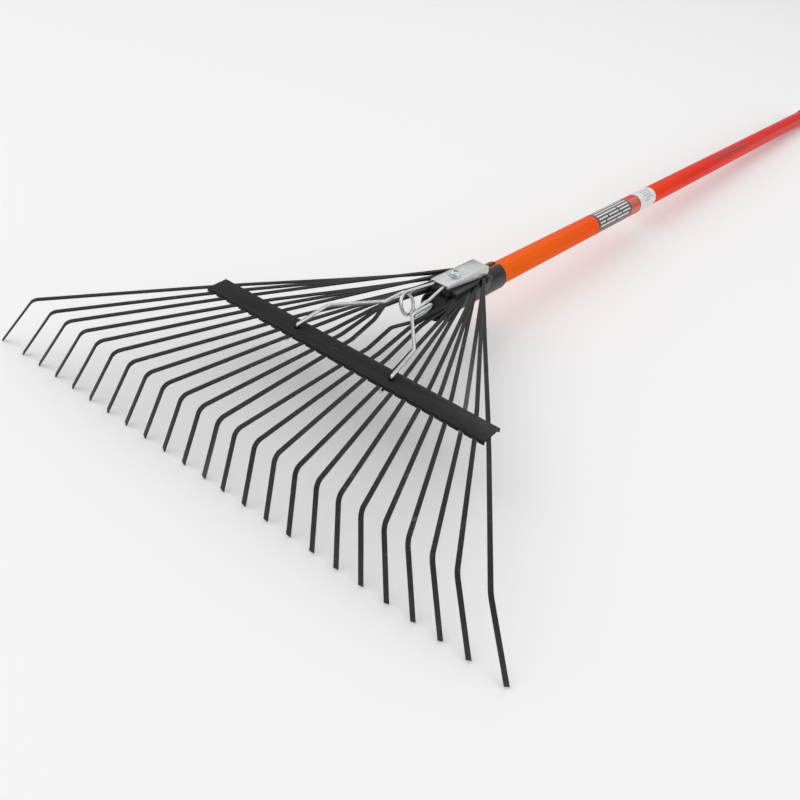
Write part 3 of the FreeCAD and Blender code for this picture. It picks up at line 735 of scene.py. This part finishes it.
@dataclass(frozen=True)
class PrintedFilm:
    """Printed label film or ink, slightly uneven in tone."""

    name: str
    colour: Colour
    faded: Colour
    roughness: float
    coat: float

    def build(self, effects: Effects) -> bpy.types.Material:
        """Make the material.

        Args:
            effects: The node groups that the finishes share.

        Returns:
            The material.
        """
        shader = Shader(self.name)
        grain = shader.group(
            effects.grain, Vector=shader.coordinates, Scale=800.0, Roughness=self.roughness, Spread=0.08
        )
        tone = shader.node(
            "ShaderNodeTexNoise", {"Vector": shader.coordinates, "Scale": 160.0, "Detail": 6.0}
        )
        shader.colour(shader.mix(tone.outputs[0], self.colour, self.faded))
        shader.roughness(grain.outputs["Roughness"])
        shader.bump(grain.outputs["Height"], 0.1, 0.00002)
        shader.fix(Coat_Weight=self.coat, Coat_Roughness=0.15)
        return shader.material


@dataclass(frozen=True)
class MouldedPlastic:
    """Moulded plastic or soft vinyl with a fine leathery grain."""

    name: str
    colour: Colour
    faded: Colour
    roughness: float
    grain_scale: float

    def build(self, effects: Effects) -> bpy.types.Material:
        """Make the material.

        Args:
            effects: The node groups that the finishes share.

        Returns:
            The material.
        """
        shader = Shader(self.name)
        grain = shader.group(
            effects.grain,
            Vector=shader.coordinates,
            Scale=self.grain_scale,
            Roughness=self.roughness,
            Spread=0.12,
        )
        marks = shader.group(effects.scuffs, Vector=shader.coordinates, Scale=300.0, Coverage=0.15)
        shader.colour(shader.mix(marks.outputs["Mask"], self.colour, self.faded))
        shader.roughness(grain.outputs["Roughness"])
        shader.bump(grain.outputs["Height"], 0.5, 0.0001)
        return shader.material


@dataclass
class Finishes:
    """Every finish on the rake, built once."""

    effects: Effects = field(default_factory=Effects)

    def __post_init__(self) -> None:
        """Build the materials."""
        self.tine = PaintedSteel(
            name="tine_steel",
            dark=(0.013, 0.013, 0.014, 1),
            light=(0.024, 0.024, 0.025, 1),
            rubbed=(0.08, 0.078, 0.076, 1),
            roughness=0.44,
            spread=0.14,
            coat=0.0,
            gloss=0.14,
            coverage=0.12,
            edge_start=0.53,
        ).build(self.effects)
        self.bar = PaintedSteel(
            name="bar_paint",
            dark=(0.013, 0.013, 0.014, 1),
            light=(0.022, 0.022, 0.023, 1),
            rubbed=(0.06, 0.06, 0.06, 1),
            roughness=0.5,
            spread=0.12,
            coat=0.0,
            gloss=0.1,
            coverage=0.0,
            edge_start=0.56,
        ).build(self.effects)
        self.socket = PaintedSteel(
            name="socket_paint",
            dark=(0.007, 0.007, 0.008, 1),
            light=(0.012, 0.012, 0.013, 1),
            rubbed=(0.06, 0.06, 0.06, 1),
            roughness=0.34,
            spread=0.08,
            coat=0.08,
            gloss=0.16,
            coverage=0.05,
            edge_start=0.56,
        ).build(self.effects)
        self.wire = ZincPlating(
            name="zinc_wire",
            tone=(0.74, 0.75, 0.75, 1),
            shade=(0.5, 0.51, 0.52, 1),
            roughness=0.12,
            spread=0.1,
            lines=(1.0, 1.0, 1.0),
            crystal_scale=500.0,
        ).build(self.effects)
        self.plate = ZincPlating(
            name="zinc_plate",
            tone=(0.7, 0.71, 0.7, 1),
            shade=(0.52, 0.53, 0.53, 1),
            roughness=0.38,
            spread=0.14,
            lines=(0.05, 1.0, 1.0),
            crystal_scale=320.0,
        ).build(self.effects)
        self.fastener = ZincPlating(
            name="zinc_fastener",
            tone=(0.66, 0.76, 0.73, 1),
            shade=(0.5, 0.6, 0.6, 1),
            roughness=0.24,
            spread=0.14,
            lines=(1.0, 1.0, 1.0),
            crystal_scale=420.0,
        ).build(self.effects)
        self.handle = GelCoat(
            name="handle_orange",
            stops=(
                (0.0, (0.97, 0.15, 0.008, 1)),
                (0.16, (0.95, 0.12, 0.006, 1)),
                (0.34, (0.93, 0.055, 0.003, 1)),
                (0.52, (0.86, 0.014, 0.001, 1)),
                (1.0, (0.82, 0.002, 0.001, 1)),
            ),
            start=-0.6,
            end=0.9,
        ).build(self.effects)
        self.black_film = PrintedFilm(
            name="label_black",
            colour=(0.006, 0.006, 0.007, 1),
            faded=(0.012, 0.012, 0.013, 1),
            roughness=0.35,
            coat=0.4,
        ).build(self.effects)
        self.light_ink = PrintedFilm(
            name="ink_light",
            colour=(0.78, 0.77, 0.74, 1),
            faded=(0.62, 0.61, 0.6, 1),
            roughness=0.45,
            coat=0.2,
        ).build(self.effects)
        self.red_film = PrintedFilm(
            name="label_red",
            colour=(0.62, 0.035, 0.006, 1),
            faded=(0.5, 0.022, 0.004, 1),
            roughness=0.35,
            coat=0.4,
        ).build(self.effects)
        self.white_film = PrintedFilm(
            name="label_white",
            colour=(0.8, 0.78, 0.77, 1),
            faded=(0.7, 0.68, 0.68, 1),
            roughness=0.4,
            coat=0.3,
        ).build(self.effects)
        self.grey_ink = PrintedFilm(
            name="ink_grey",
            colour=(0.3, 0.33, 0.33, 1),
            faded=(0.5, 0.5, 0.5, 1),
            roughness=0.5,
            coat=0.1,
        ).build(self.effects)
        self.dark_ink = PrintedFilm(
            name="ink_dark",
            colour=(0.05, 0.004, 0.003, 1),
            faded=(0.12, 0.006, 0.004, 1),
            roughness=0.45,
            coat=0.2,
        ).build(self.effects)
        # black plug colour: a real plastic plug, and also painted shade standing in for the shaded inside of
        # the socket's mouth
        self.plug = MouldedPlastic(
            name="plug_black",
            colour=(0.012, 0.012, 0.012, 1),
            faded=(0.03, 0.03, 0.03, 1),
            roughness=0.5,
            grain_scale=900.0,
        ).build(self.effects)
        self.cap = MouldedPlastic(
            name="cap_black",
            colour=(0.014, 0.014, 0.015, 1),
            faded=(0.035, 0.035, 0.036, 1),
            roughness=0.62,
            grain_scale=650.0,
        ).build(self.effects)


# ------------------------------------------------------------------ sub-assemblies


@dataclass
class TineFan:
    """Twenty-four flat tines with softened edges and tips sheared at a slant."""

    count: int = 24
    edge_rounding: float = 0.28 * MM
    tip_slant: float = 24.0
    tip_length: float = 20 * MM

    def build_meshes(self) -> list[bpy.types.Object]:
        """Refine every tine.

        Returns:
            The tines, from the left of the fan to the right.
        """
        tines = []
        for number in range(1, self.count + 1):
            tine = refined_copy(f"tine_{number:02d}", f"tine_{number:02d}_strip", 0.0)
            self.shear_tip(tine)
            round_edges(tine, self.edge_rounding)
            smooth(tine)
            tines.append(tine)
        return tines

    def shear_tip(self, tine: bpy.types.Object) -> None:
        """Cut one tip at a slant across its width."""
        corners = sorted((vertex.co.copy() for vertex in tine.data.vertices), key=lambda co: co.z)[:4]
        middle = sum(corners, Vector()) / 4
        above = min(
            (vertex.co for vertex in tine.data.vertices if (vertex.co - middle).length > self.tip_length),
            key=lambda co: (co - middle).length,
        )
        along = (middle - above).normalized()
        across = Vector((0, 1, 0)).cross(along).normalized()
        width = along.cross(across).normalized()
        reach = max(abs((corner - middle).dot(width)) for corner in corners)
        slant = math.radians(self.tip_slant)
        normal = (along * math.cos(slant) + width * math.sin(slant)).normalized()
        point = middle - along * (reach * math.tan(slant))
        with edit_mode(tine, everything=True):
            bpy.ops.mesh.bisect(plane_co=point, plane_no=normal, use_fill=True, clear_outer=True)

    def dress(self, tines: Sequence[bpy.types.Object], finishes: Finishes) -> None:
        """Give every tine its black finish."""
        for tine in tines:
            finish_piece(tine, finishes.tine, Slot.TINE)


@dataclass
class SpreaderBar:
    """Folded bar over the tines and the strip under them."""

    fold_rounding: float = 0.55 * MM
    strip_rounding: float = 0.2 * MM

    def build_meshes(self) -> list[bpy.types.Object]:
        """Refine the bar and its strip."""
        return [
            refined_copy("spreader_bar", "spreader_bar_fold", self.fold_rounding, 3),
            refined_copy("spreader_strip", "spreader_strip_flat", self.strip_rounding),
        ]

    def dress(self, pieces: Sequence[bpy.types.Object], finishes: Finishes) -> None:
        """Give both their paint."""
        for piece in pieces:
            finish_piece(piece, finishes.bar, Slot.BAR)


@dataclass
class Braces:
    """Two coiled spring wires with chamfered ends."""

    end_rounding: float = 0.5 * MM

    def build_meshes(self) -> list[bpy.types.Object]:
        """Refine both wires."""
        return [
            refined_copy("brace_left", "brace_left_wire", self.end_rounding),
            refined_copy("brace_right", "brace_right_wire", self.end_rounding),
        ]

    def dress(self, wires: Sequence[bpy.types.Object], finishes: Finishes) -> None:
        """Give both their zinc."""
        for wire in wires:
            finish_piece(wire, finishes.wire, Slot.WIRE)


@dataclass
class Clamp:
    """Socket, tine cap, zinc plate and the bolt that holds them on the handle."""

    line: HandleLine
    bolt_station: float = 333 * MM
    head_seat: float = 29.4 * MM
    head_radius: float = 6.5 * MM
    head_height: float = 3.6 * MM
    recess_length: float = 7.0 * MM
    recess_width: float = 1.5 * MM
    recess_depth: float = 1.8 * MM
    shank_radius: float = 3.0 * MM
    shank_end: float = -28.0 * MM
    thread_top: float = -18.0 * MM
    thread_pitch: float = 1.0 * MM
    thread_depth: float = 0.42 * MM
    nut_top: float = -18.0 * MM
    nut_height: float = 5.6 * MM
    nut_radius: float = 5.77 * MM
    rim_share: float = 0.45
    dome_rings: tuple[tuple[float, float], ...] = ((0.25, 0.94), (0.18, 0.86), (0.08, 0.72), (0.04, 0.5))
    hexagon_share: float = 0.72
    collar_share: float = 0.78
    overlap: float = 0.4 * MM
    bore_play: float = 0.03 * MM
    nut_rounding: float = 0.35 * MM
    socket_rounding: float = 0.5 * MM
    cap_rounding: float = 0.7 * MM
    plate_rounding: float = 0.75 * MM
    washer_rounding: float = 0.25 * MM
    fastener_smoothing: float = 32.0

    def build_meshes(self) -> dict[str, bpy.types.Object]:
        """Refine the pressed parts and model the fasteners."""
        return {
            "socket": refined_copy("handle_socket", "handle_socket_shell", self.socket_rounding, 3),
            "cap": refined_copy("tine_cap", "tine_cap_pressing", self.cap_rounding, 3),
            "plate": refined_copy("clamp_plate", "clamp_plate_channel", self.plate_rounding, 4),
            "head_washer": refined_copy("head_washer", "head_washer_ring", self.washer_rounding),
            "nut_washer": refined_copy("nut_washer", "nut_washer_ring", self.washer_rounding),
            "bolt": self.bolt(),
            "nut": self.nut(),
        }

    def bolt(self) -> bpy.types.Object:
        """Pan-head bolt with a cross recess and a threaded end."""
        head = self.domed_head()
        shank = self.threaded_shank()
        bolt = join([head, shank], "clamp_bolt_screw")
        settle(bolt, "clamp_bolt_screw", self.line.place(self.bolt_station))
        smooth(bolt, self.fastener_smoothing)
        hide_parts("clamp_bolt")
        return bolt

    def domed_head(self) -> bpy.types.Object:
        """Low domed head, built up in rings and cut by the recess."""
        rim = self.head_height * self.rim_share
        top = self.head_seat + rim
        head = cylinder(self.head_radius, rim, Vector((0, 0, self.head_seat + rim / 2)))
        settle(head, "bolt_head")
        choose_faces(head, lambda centre, normal: normal.z > 0.9 and centre.z > top - 0.1 * MM)
        with edit_mode(head):
            for rise, shrink in self.dome_rings:
                bpy.ops.mesh.extrude_region_move(
                    TRANSFORM_OT_translate={"value": (0, 0, self.head_height * rise)}
                )
                bpy.ops.transform.resize(
                    value=(shrink, shrink, 1.0), center_override=(0, 0, 0)
                )
        tools = []
        depth = self.recess_depth * 2
        for size in (
            (self.recess_length, self.recess_width, depth),
            (self.recess_width, self.recess_length, depth),
        ):
            deselect_all()
            bpy.ops.mesh.primitive_cube_add(
                size=1.0, location=(0, 0, self.head_seat + self.head_height), scale=size
            )
            tools.append(settle(bpy.context.active_object, "recess_arm"))
        for tool in tools:
            apply_modifier(head, "BOOLEAN", object=tool, operation="DIFFERENCE", solver="EXACT")
            bpy.data.objects.remove(tool)
        return head

    def threaded_shank(self) -> bpy.types.Object:
        """Plain shank that ends in thread ridges and a chamfer."""
        length = self.head_seat + self.overlap - self.thread_top
        shank = cylinder(
            self.shank_radius, length, Vector((0, 0, self.thread_top + length / 2)), 32
        )
        settle(shank, "bolt_shank")
        choose_faces(shank, lambda centre, normal: normal.z < -0.9)
        turns = round((self.thread_top - self.shank_end) / self.thread_pitch)
        inner = (self.shank_radius - self.thread_depth) / self.shank_radius
        half = self.thread_pitch / 2
        with edit_mode(shank):
            for _ in range(turns):
                for factor in (inner, 1 / inner):
                    bpy.ops.mesh.extrude_region_move(TRANSFORM_OT_translate={"value": (0, 0, -half)})
                    bpy.ops.transform.resize(value=(factor, factor, 1.0), center_override=(0, 0, 0))
            bpy.ops.transform.resize(value=(inner, inner, 1.0), center_override=(0, 0, 0))
        return shank

    def nut(self) -> bpy.types.Object:
        """Hexagonal lock nut with rounded corners and a raised collar at its lower end."""
        bottom = self.nut_top - self.nut_height
        hexagon_height = self.nut_height * self.hexagon_share
        collar_height = self.nut_height - hexagon_height + self.overlap
        nut = cylinder(self.nut_radius, hexagon_height, Vector((0, 0, self.nut_top - hexagon_height / 2)), 6)
        settle(nut, "nut_hexagon")
        collar = cylinder(
            self.nut_radius * self.collar_share, collar_height, Vector((0, 0, bottom + collar_height / 2)), 32
        )
        bore = cylinder(
            self.shank_radius + self.bore_play,
            self.nut_height * 2,
            Vector((0, 0, bottom + self.nut_height / 2)),
            32,
        )
        for tool, operation in ((collar, "UNION"), (bore, "DIFFERENCE")):
            settle(tool, "nut_tool")
            apply_modifier(nut, "BOOLEAN", object=tool, operation=operation, solver="EXACT")
            bpy.data.objects.remove(tool)
        round_edges(nut, self.nut_rounding)
        settle(nut, "lock_nut_hexagon", self.line.place(self.bolt_station))
        smooth(nut, self.fastener_smoothing)
        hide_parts("lock_nut")
        return nut

    def dress(self, pieces: dict[str, bpy.types.Object], finishes: Finishes) -> None:
        """Give each part its finish."""
        finish_piece(pieces["socket"], finishes.socket, Slot.SOCKET)
        finish_piece(pieces["cap"], finishes.socket, Slot.SOCKET)
        finish_piece(pieces["plate"], finishes.plate, Slot.PLATE)
        for name in ("head_washer", "nut_washer", "bolt", "nut"):
            finish_piece(pieces[name], finishes.fastener, Slot.FASTENER)


@dataclass
class Handle:
    """Glass-fibre handle with its front plug, whose black face is a real plug and also painted shade for the
    dark socket mouth, and the soft cap on its grip end.
    """

    rim_rounding: float = 0.4 * MM
    cap_rounding: float = 0.9 * MM

    def build_meshes(self) -> dict[str, bpy.types.Object]:
        """Refine the tube, plug and end cap."""
        return {
            "tube": refined_copy("handle_tube", "handle_tube_rod", self.rim_rounding),
            # black plug over the whole tube end: a real plug, and also painted shade standing in for the
            # shaded inside of the socket's mouth
            "plug": refined_copy("handle_plug", "handle_plug_and_painted_shade", self.rim_rounding),
            "cap": refined_copy("end_cap", "end_cap_sleeve", self.cap_rounding, 3),
        }

    def dress(self, pieces: dict[str, bpy.types.Object], finishes: Finishes) -> None:
        """Give each part its finish."""
        finish_piece(pieces["tube"], finishes.handle, Slot.HANDLE)
        finish_piece(pieces["plug"], finishes.plug, Slot.PLUG)
        finish_piece(pieces["cap"], finishes.cap, Slot.CAP)


@dataclass
class Labels:
    """Films and printed bars wrapped round the handle, all without words.

    Angles are in degrees round the handle, from its top towards the right side of the fan.
    """

    line: HandleLine
    radius: float = 14.2 * MM
    film: float = 0.12 * MM
    ink: float = 0.05 * MM
    black_from: float = 683 * MM
    black_to: float = 794 * MM
    black_angles: tuple[float, float] = (-52.0, 112.0)
    bar_rows: tuple[float, ...] = (-22.0, -2.0, 18.0, 38.0, 58.0, 78.0)
    bar_height: float = 9.0
    panel_to: float = 827 * MM
    panel_angles: tuple[float, float] = (8.0, 100.0)
    frame_angle: float = 2.0
    frame_width: float = 2 * MM
    white_from: float = 828 * MM
    white_to: float = 885 * MM
    white_angles: tuple[float, float] = (-175.0, 175.0)
    mark_from: float = 1170 * MM
    mark_to: float = 1335 * MM
    grey_height: float = 7.0
    mark_height: float = 11.0
    dash_count: int = 15
    dash_pitch: float = 0.066
    dash_length: float = 0.04
    facet: float = 6.0

    def patch(
        self, start: float, end: float, low: float, high: float, lift: float, thick: float
    ) -> bpy.types.Object:
        """Make a curved patch that lies on the handle.

        Args:
            start: Station of its front edge along the handle.
            end: Station of its rear edge.
            low: Angle of its first side.
            high: Angle of its other side.
            lift: Height of its underside above the handle.
            thick: Its thickness.

        Returns:
            The patch, in the handle's own axes.
        """
        steps = max(1, math.ceil((high - low) / self.facet))
        deselect_all()
        bpy.ops.mesh.primitive_grid_add(x_subdivisions=1, y_subdivisions=steps, size=1.0)
        piece = bpy.context.active_object
        outer = self.radius + lift + thick
        for vertex in piece.data.vertices:
            angle = math.radians(low + (vertex.co.y + 0.5) * (high - low))
            at = start + (vertex.co.x + 0.5) * (end - start)
            vertex.co = (at, -outer * math.sin(angle), outer * math.cos(angle))
        with edit_mode(piece, everything=True):
            bpy.ops.mesh.normals_make_consistent(inside=False)
        face = piece.data.polygons[0]
        if face.normal.dot(Vector((0, face.center.y, face.center.z))) < 0:
            piece.data.flip_normals()
        apply_modifier(piece, "SOLIDIFY", thickness=thick, offset=-1.0)
        return piece

    def bars(
        self, start: float, end: float, rows: Sequence[BarRow], height: float, lift: float
    ) -> list[bpy.types.Object]:
        """Make rows of plain bars.

        Args:
            start: Station of the front end of the printed area.
            end: Station of its rear end.
            rows: For each row, its angle and the shares of the area's length that its bars cover.
            height: Height of a bar, in degrees round the handle.
            lift: Height of the ink's underside above the handle.

        Returns:
            The bars, in the handle's own axes.
        """
        made = []
        length = end - start
        for angle, spans in rows:
            for first, last in spans:
                made.append(
                    self.patch(
                        start + first * length, start + last * length,
                        angle - height / 2, angle + height / 2, lift, self.ink,
                    )
                )
        return made

    def build_meshes(self) -> dict[str, bpy.types.Object]:
        """Make every label and its bars."""
        lift = self.film + INK_GAP
        spans = (
            ((0.05, 0.95),),
            ((0.05, 0.97),),
            ((0.05, 0.6), (0.64, 0.96)),
            ((0.05, 0.3), (0.34, 0.62), (0.66, 0.95)),
            ((0.05, 0.2), (0.24, 0.68), (0.72, 0.96)),
            ((0.06, 0.5), (0.54, 0.9)),
        )
        white_rows = (
            (0.0, ((0.3, 0.8),)), (16.0, ((0.35, 0.6), (0.66, 0.8))),
            (32.0, ((0.3, 0.75),)), (48.0, ((0.4, 0.8),)), (64.0, ((0.3, 0.55),)),
        )
        dashes = [0.01 + step * self.dash_pitch for step in range(self.dash_count)]
        mark_rows = (
            (14.0, tuple((at, at + self.dash_length) for at in dashes)),
            (38.0, ((0.0, 0.98),)),
        )
        frame_from = self.panel_to - self.frame_width
        low, high = self.panel_angles
        sets = {
            "label_black_film": [
                self.patch(self.black_from, self.black_to, *self.black_angles, 0.0, self.film)
            ],
            "label_light_bars": self.bars(
                self.black_from, self.black_to, tuple(zip(self.bar_rows, spans)), self.bar_height, lift
            ),
            "label_red_panel": [self.patch(self.black_to, self.panel_to, low, high, 0.0, self.film)],
            "label_panel_frame": [
                self.patch(self.black_to, self.panel_to, self.frame_angle, low, 0.0, self.film),
                self.patch(frame_from, self.panel_to, low, high, lift, self.ink),
            ],
            "label_white_wrap": [
                self.patch(self.white_from, self.white_to, *self.white_angles, 0.0, self.film)
            ],
            "label_grey_marks": self.bars(self.white_from, self.white_to, white_rows, self.grey_height, lift),
            "handle_dark_mark": self.bars(self.mark_from, self.mark_to, mark_rows, self.mark_height, INK_GAP),
        }
        return {name: settle(join(parts, name), name, self.line.place()) for name, parts in sets.items()}

    def dress(self, pieces: dict[str, bpy.types.Object], finishes: Finishes) -> None:
        """Give each label its film or ink."""
        films = {
            "label_black_film": finishes.black_film,
            "label_light_bars": finishes.light_ink,
            "label_red_panel": finishes.red_film,
            "label_panel_frame": finishes.black_film,
            "label_white_wrap": finishes.white_film,
            "label_grey_marks": finishes.grey_ink,
            "handle_dark_mark": finishes.dark_ink,
        }
        for name, piece in pieces.items():
            smooth(piece)
            finish_piece(piece, films[name], Slot.HANDLE)


# ------------------------------------------------------------------ studio


@dataclass(frozen=True)
class Lamp:
    """One soft square lamp: its name, place, side and power."""

    name: str
    at: tuple[float, float, float]
    size: float
    power: float


@dataclass
class Studio:
    """Pale floor, soft lights and the camera."""

    lamps: tuple[Lamp, ...] = (
        Lamp("key", (-1.9, 1.6, 2.4), 2.6, 18.0),
        Lamp("fill", (-0.4, -2.2, 1.2), 2.4, 9.0),
        Lamp("rear", (1.8, 0.8, 2.2), 2.4, 6.0),
    )
    lamps_face: tuple[float, float, float] = (-0.55, 0, 0.05)
    camera_at: Vector = field(default_factory=lambda: Vector((-1.34167, -0.4186, 0.51947)))
    camera_turn: tuple[float, float, float] = (54.6179, -8.3146, -52.9391)
    lens: float = 39.84

    def build(self) -> None:
        """Set up the whole studio."""
        self.add_floor()
        self.add_world()
        for lamp in self.lamps:
            self.add_lamp(lamp)
        self.add_camera()
        bpy.context.scene.view_settings.view_transform = "Standard"

    def add_floor(self) -> None:
        """Plain pale floor under the rake."""
        deselect_all()
        bpy.ops.mesh.primitive_plane_add(size=60.0, location=(0, 0, 0))
        floor = bpy.context.active_object
        floor.name = "floor"
        shader = Shader("pale_floor")
        shader.fix(Base_Color=(0.93, 0.93, 0.93, 1), Roughness=0.7)
        floor.data.materials.append(shader.material)

    def add_world(self) -> None:
        """Pale surroundings that darken below the horizon."""
        world = bpy.data.worlds.new("studio")
        world.use_nodes = True
        builder = NodeBuilder(world.node_tree)
        surround = builder.tree.nodes["Background"]
        direction = builder.node("ShaderNodeTexCoord", {}).outputs["Generated"]
        split = builder.node("ShaderNodeSeparateXYZ", {"Vector": direction})
        ramp = builder.node("ShaderNodeValToRGB", {"Fac": split.outputs["Z"]})
        low, high = ramp.color_ramp.elements
        low.position, low.color = 0.04, (0.3, 0.3, 0.31, 1)
        high.position, high.color = 0.3, (1.0, 1.0, 1.0, 1)
        builder.feed(ramp.outputs["Color"], surround.inputs["Color"])
        surround.inputs["Strength"].default_value = 0.8
        bpy.context.scene.world = world

    def add_lamp(self, lamp: Lamp) -> None:
        """Add a soft square lamp that faces the fan.

        Args:
            lamp: Its name, place, side and power.
        """
        light = bpy.data.lights.new(lamp.name, "AREA")
        light.size = lamp.size
        light.energy = lamp.power
        holder = bpy.data.objects.new(lamp.name, light)
        holder.location = lamp.at
        aim = Vector(self.lamps_face) - Vector(lamp.at)
        holder.rotation_euler = aim.to_track_quat("-Z", "Y").to_euler()
        bpy.context.scene.collection.objects.link(holder)

    def add_camera(self) -> None:
        """Place the camera above the right front of the fan."""
        data = bpy.data.cameras.new("view")
        data.lens = self.lens
        data.sensor_width = 36.0
        data.clip_start = 0.02
        data.clip_end = 100.0
        camera = bpy.data.objects.new("view", data)
        camera.location = self.camera_at
        camera.rotation_euler = Euler([math.radians(turn) for turn in self.camera_turn], "XYZ")
        bpy.context.scene.collection.objects.link(camera)
        bpy.context.scene.camera = camera


def main() -> None:
    """Build every sub-assembly in order."""
    logging.basicConfig(level=logging.INFO, format="%(name)s %(message)s")
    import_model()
    line = read_handle_line()
    finishes = Finishes()
    for assembly in (TineFan(), SpreaderBar(), Braces(), Clamp(line), Handle(), Labels(line)):
        assembly.dress(assembly.build_meshes(), finishes)
    Studio().build()


if __name__ == "__main__":
    main()
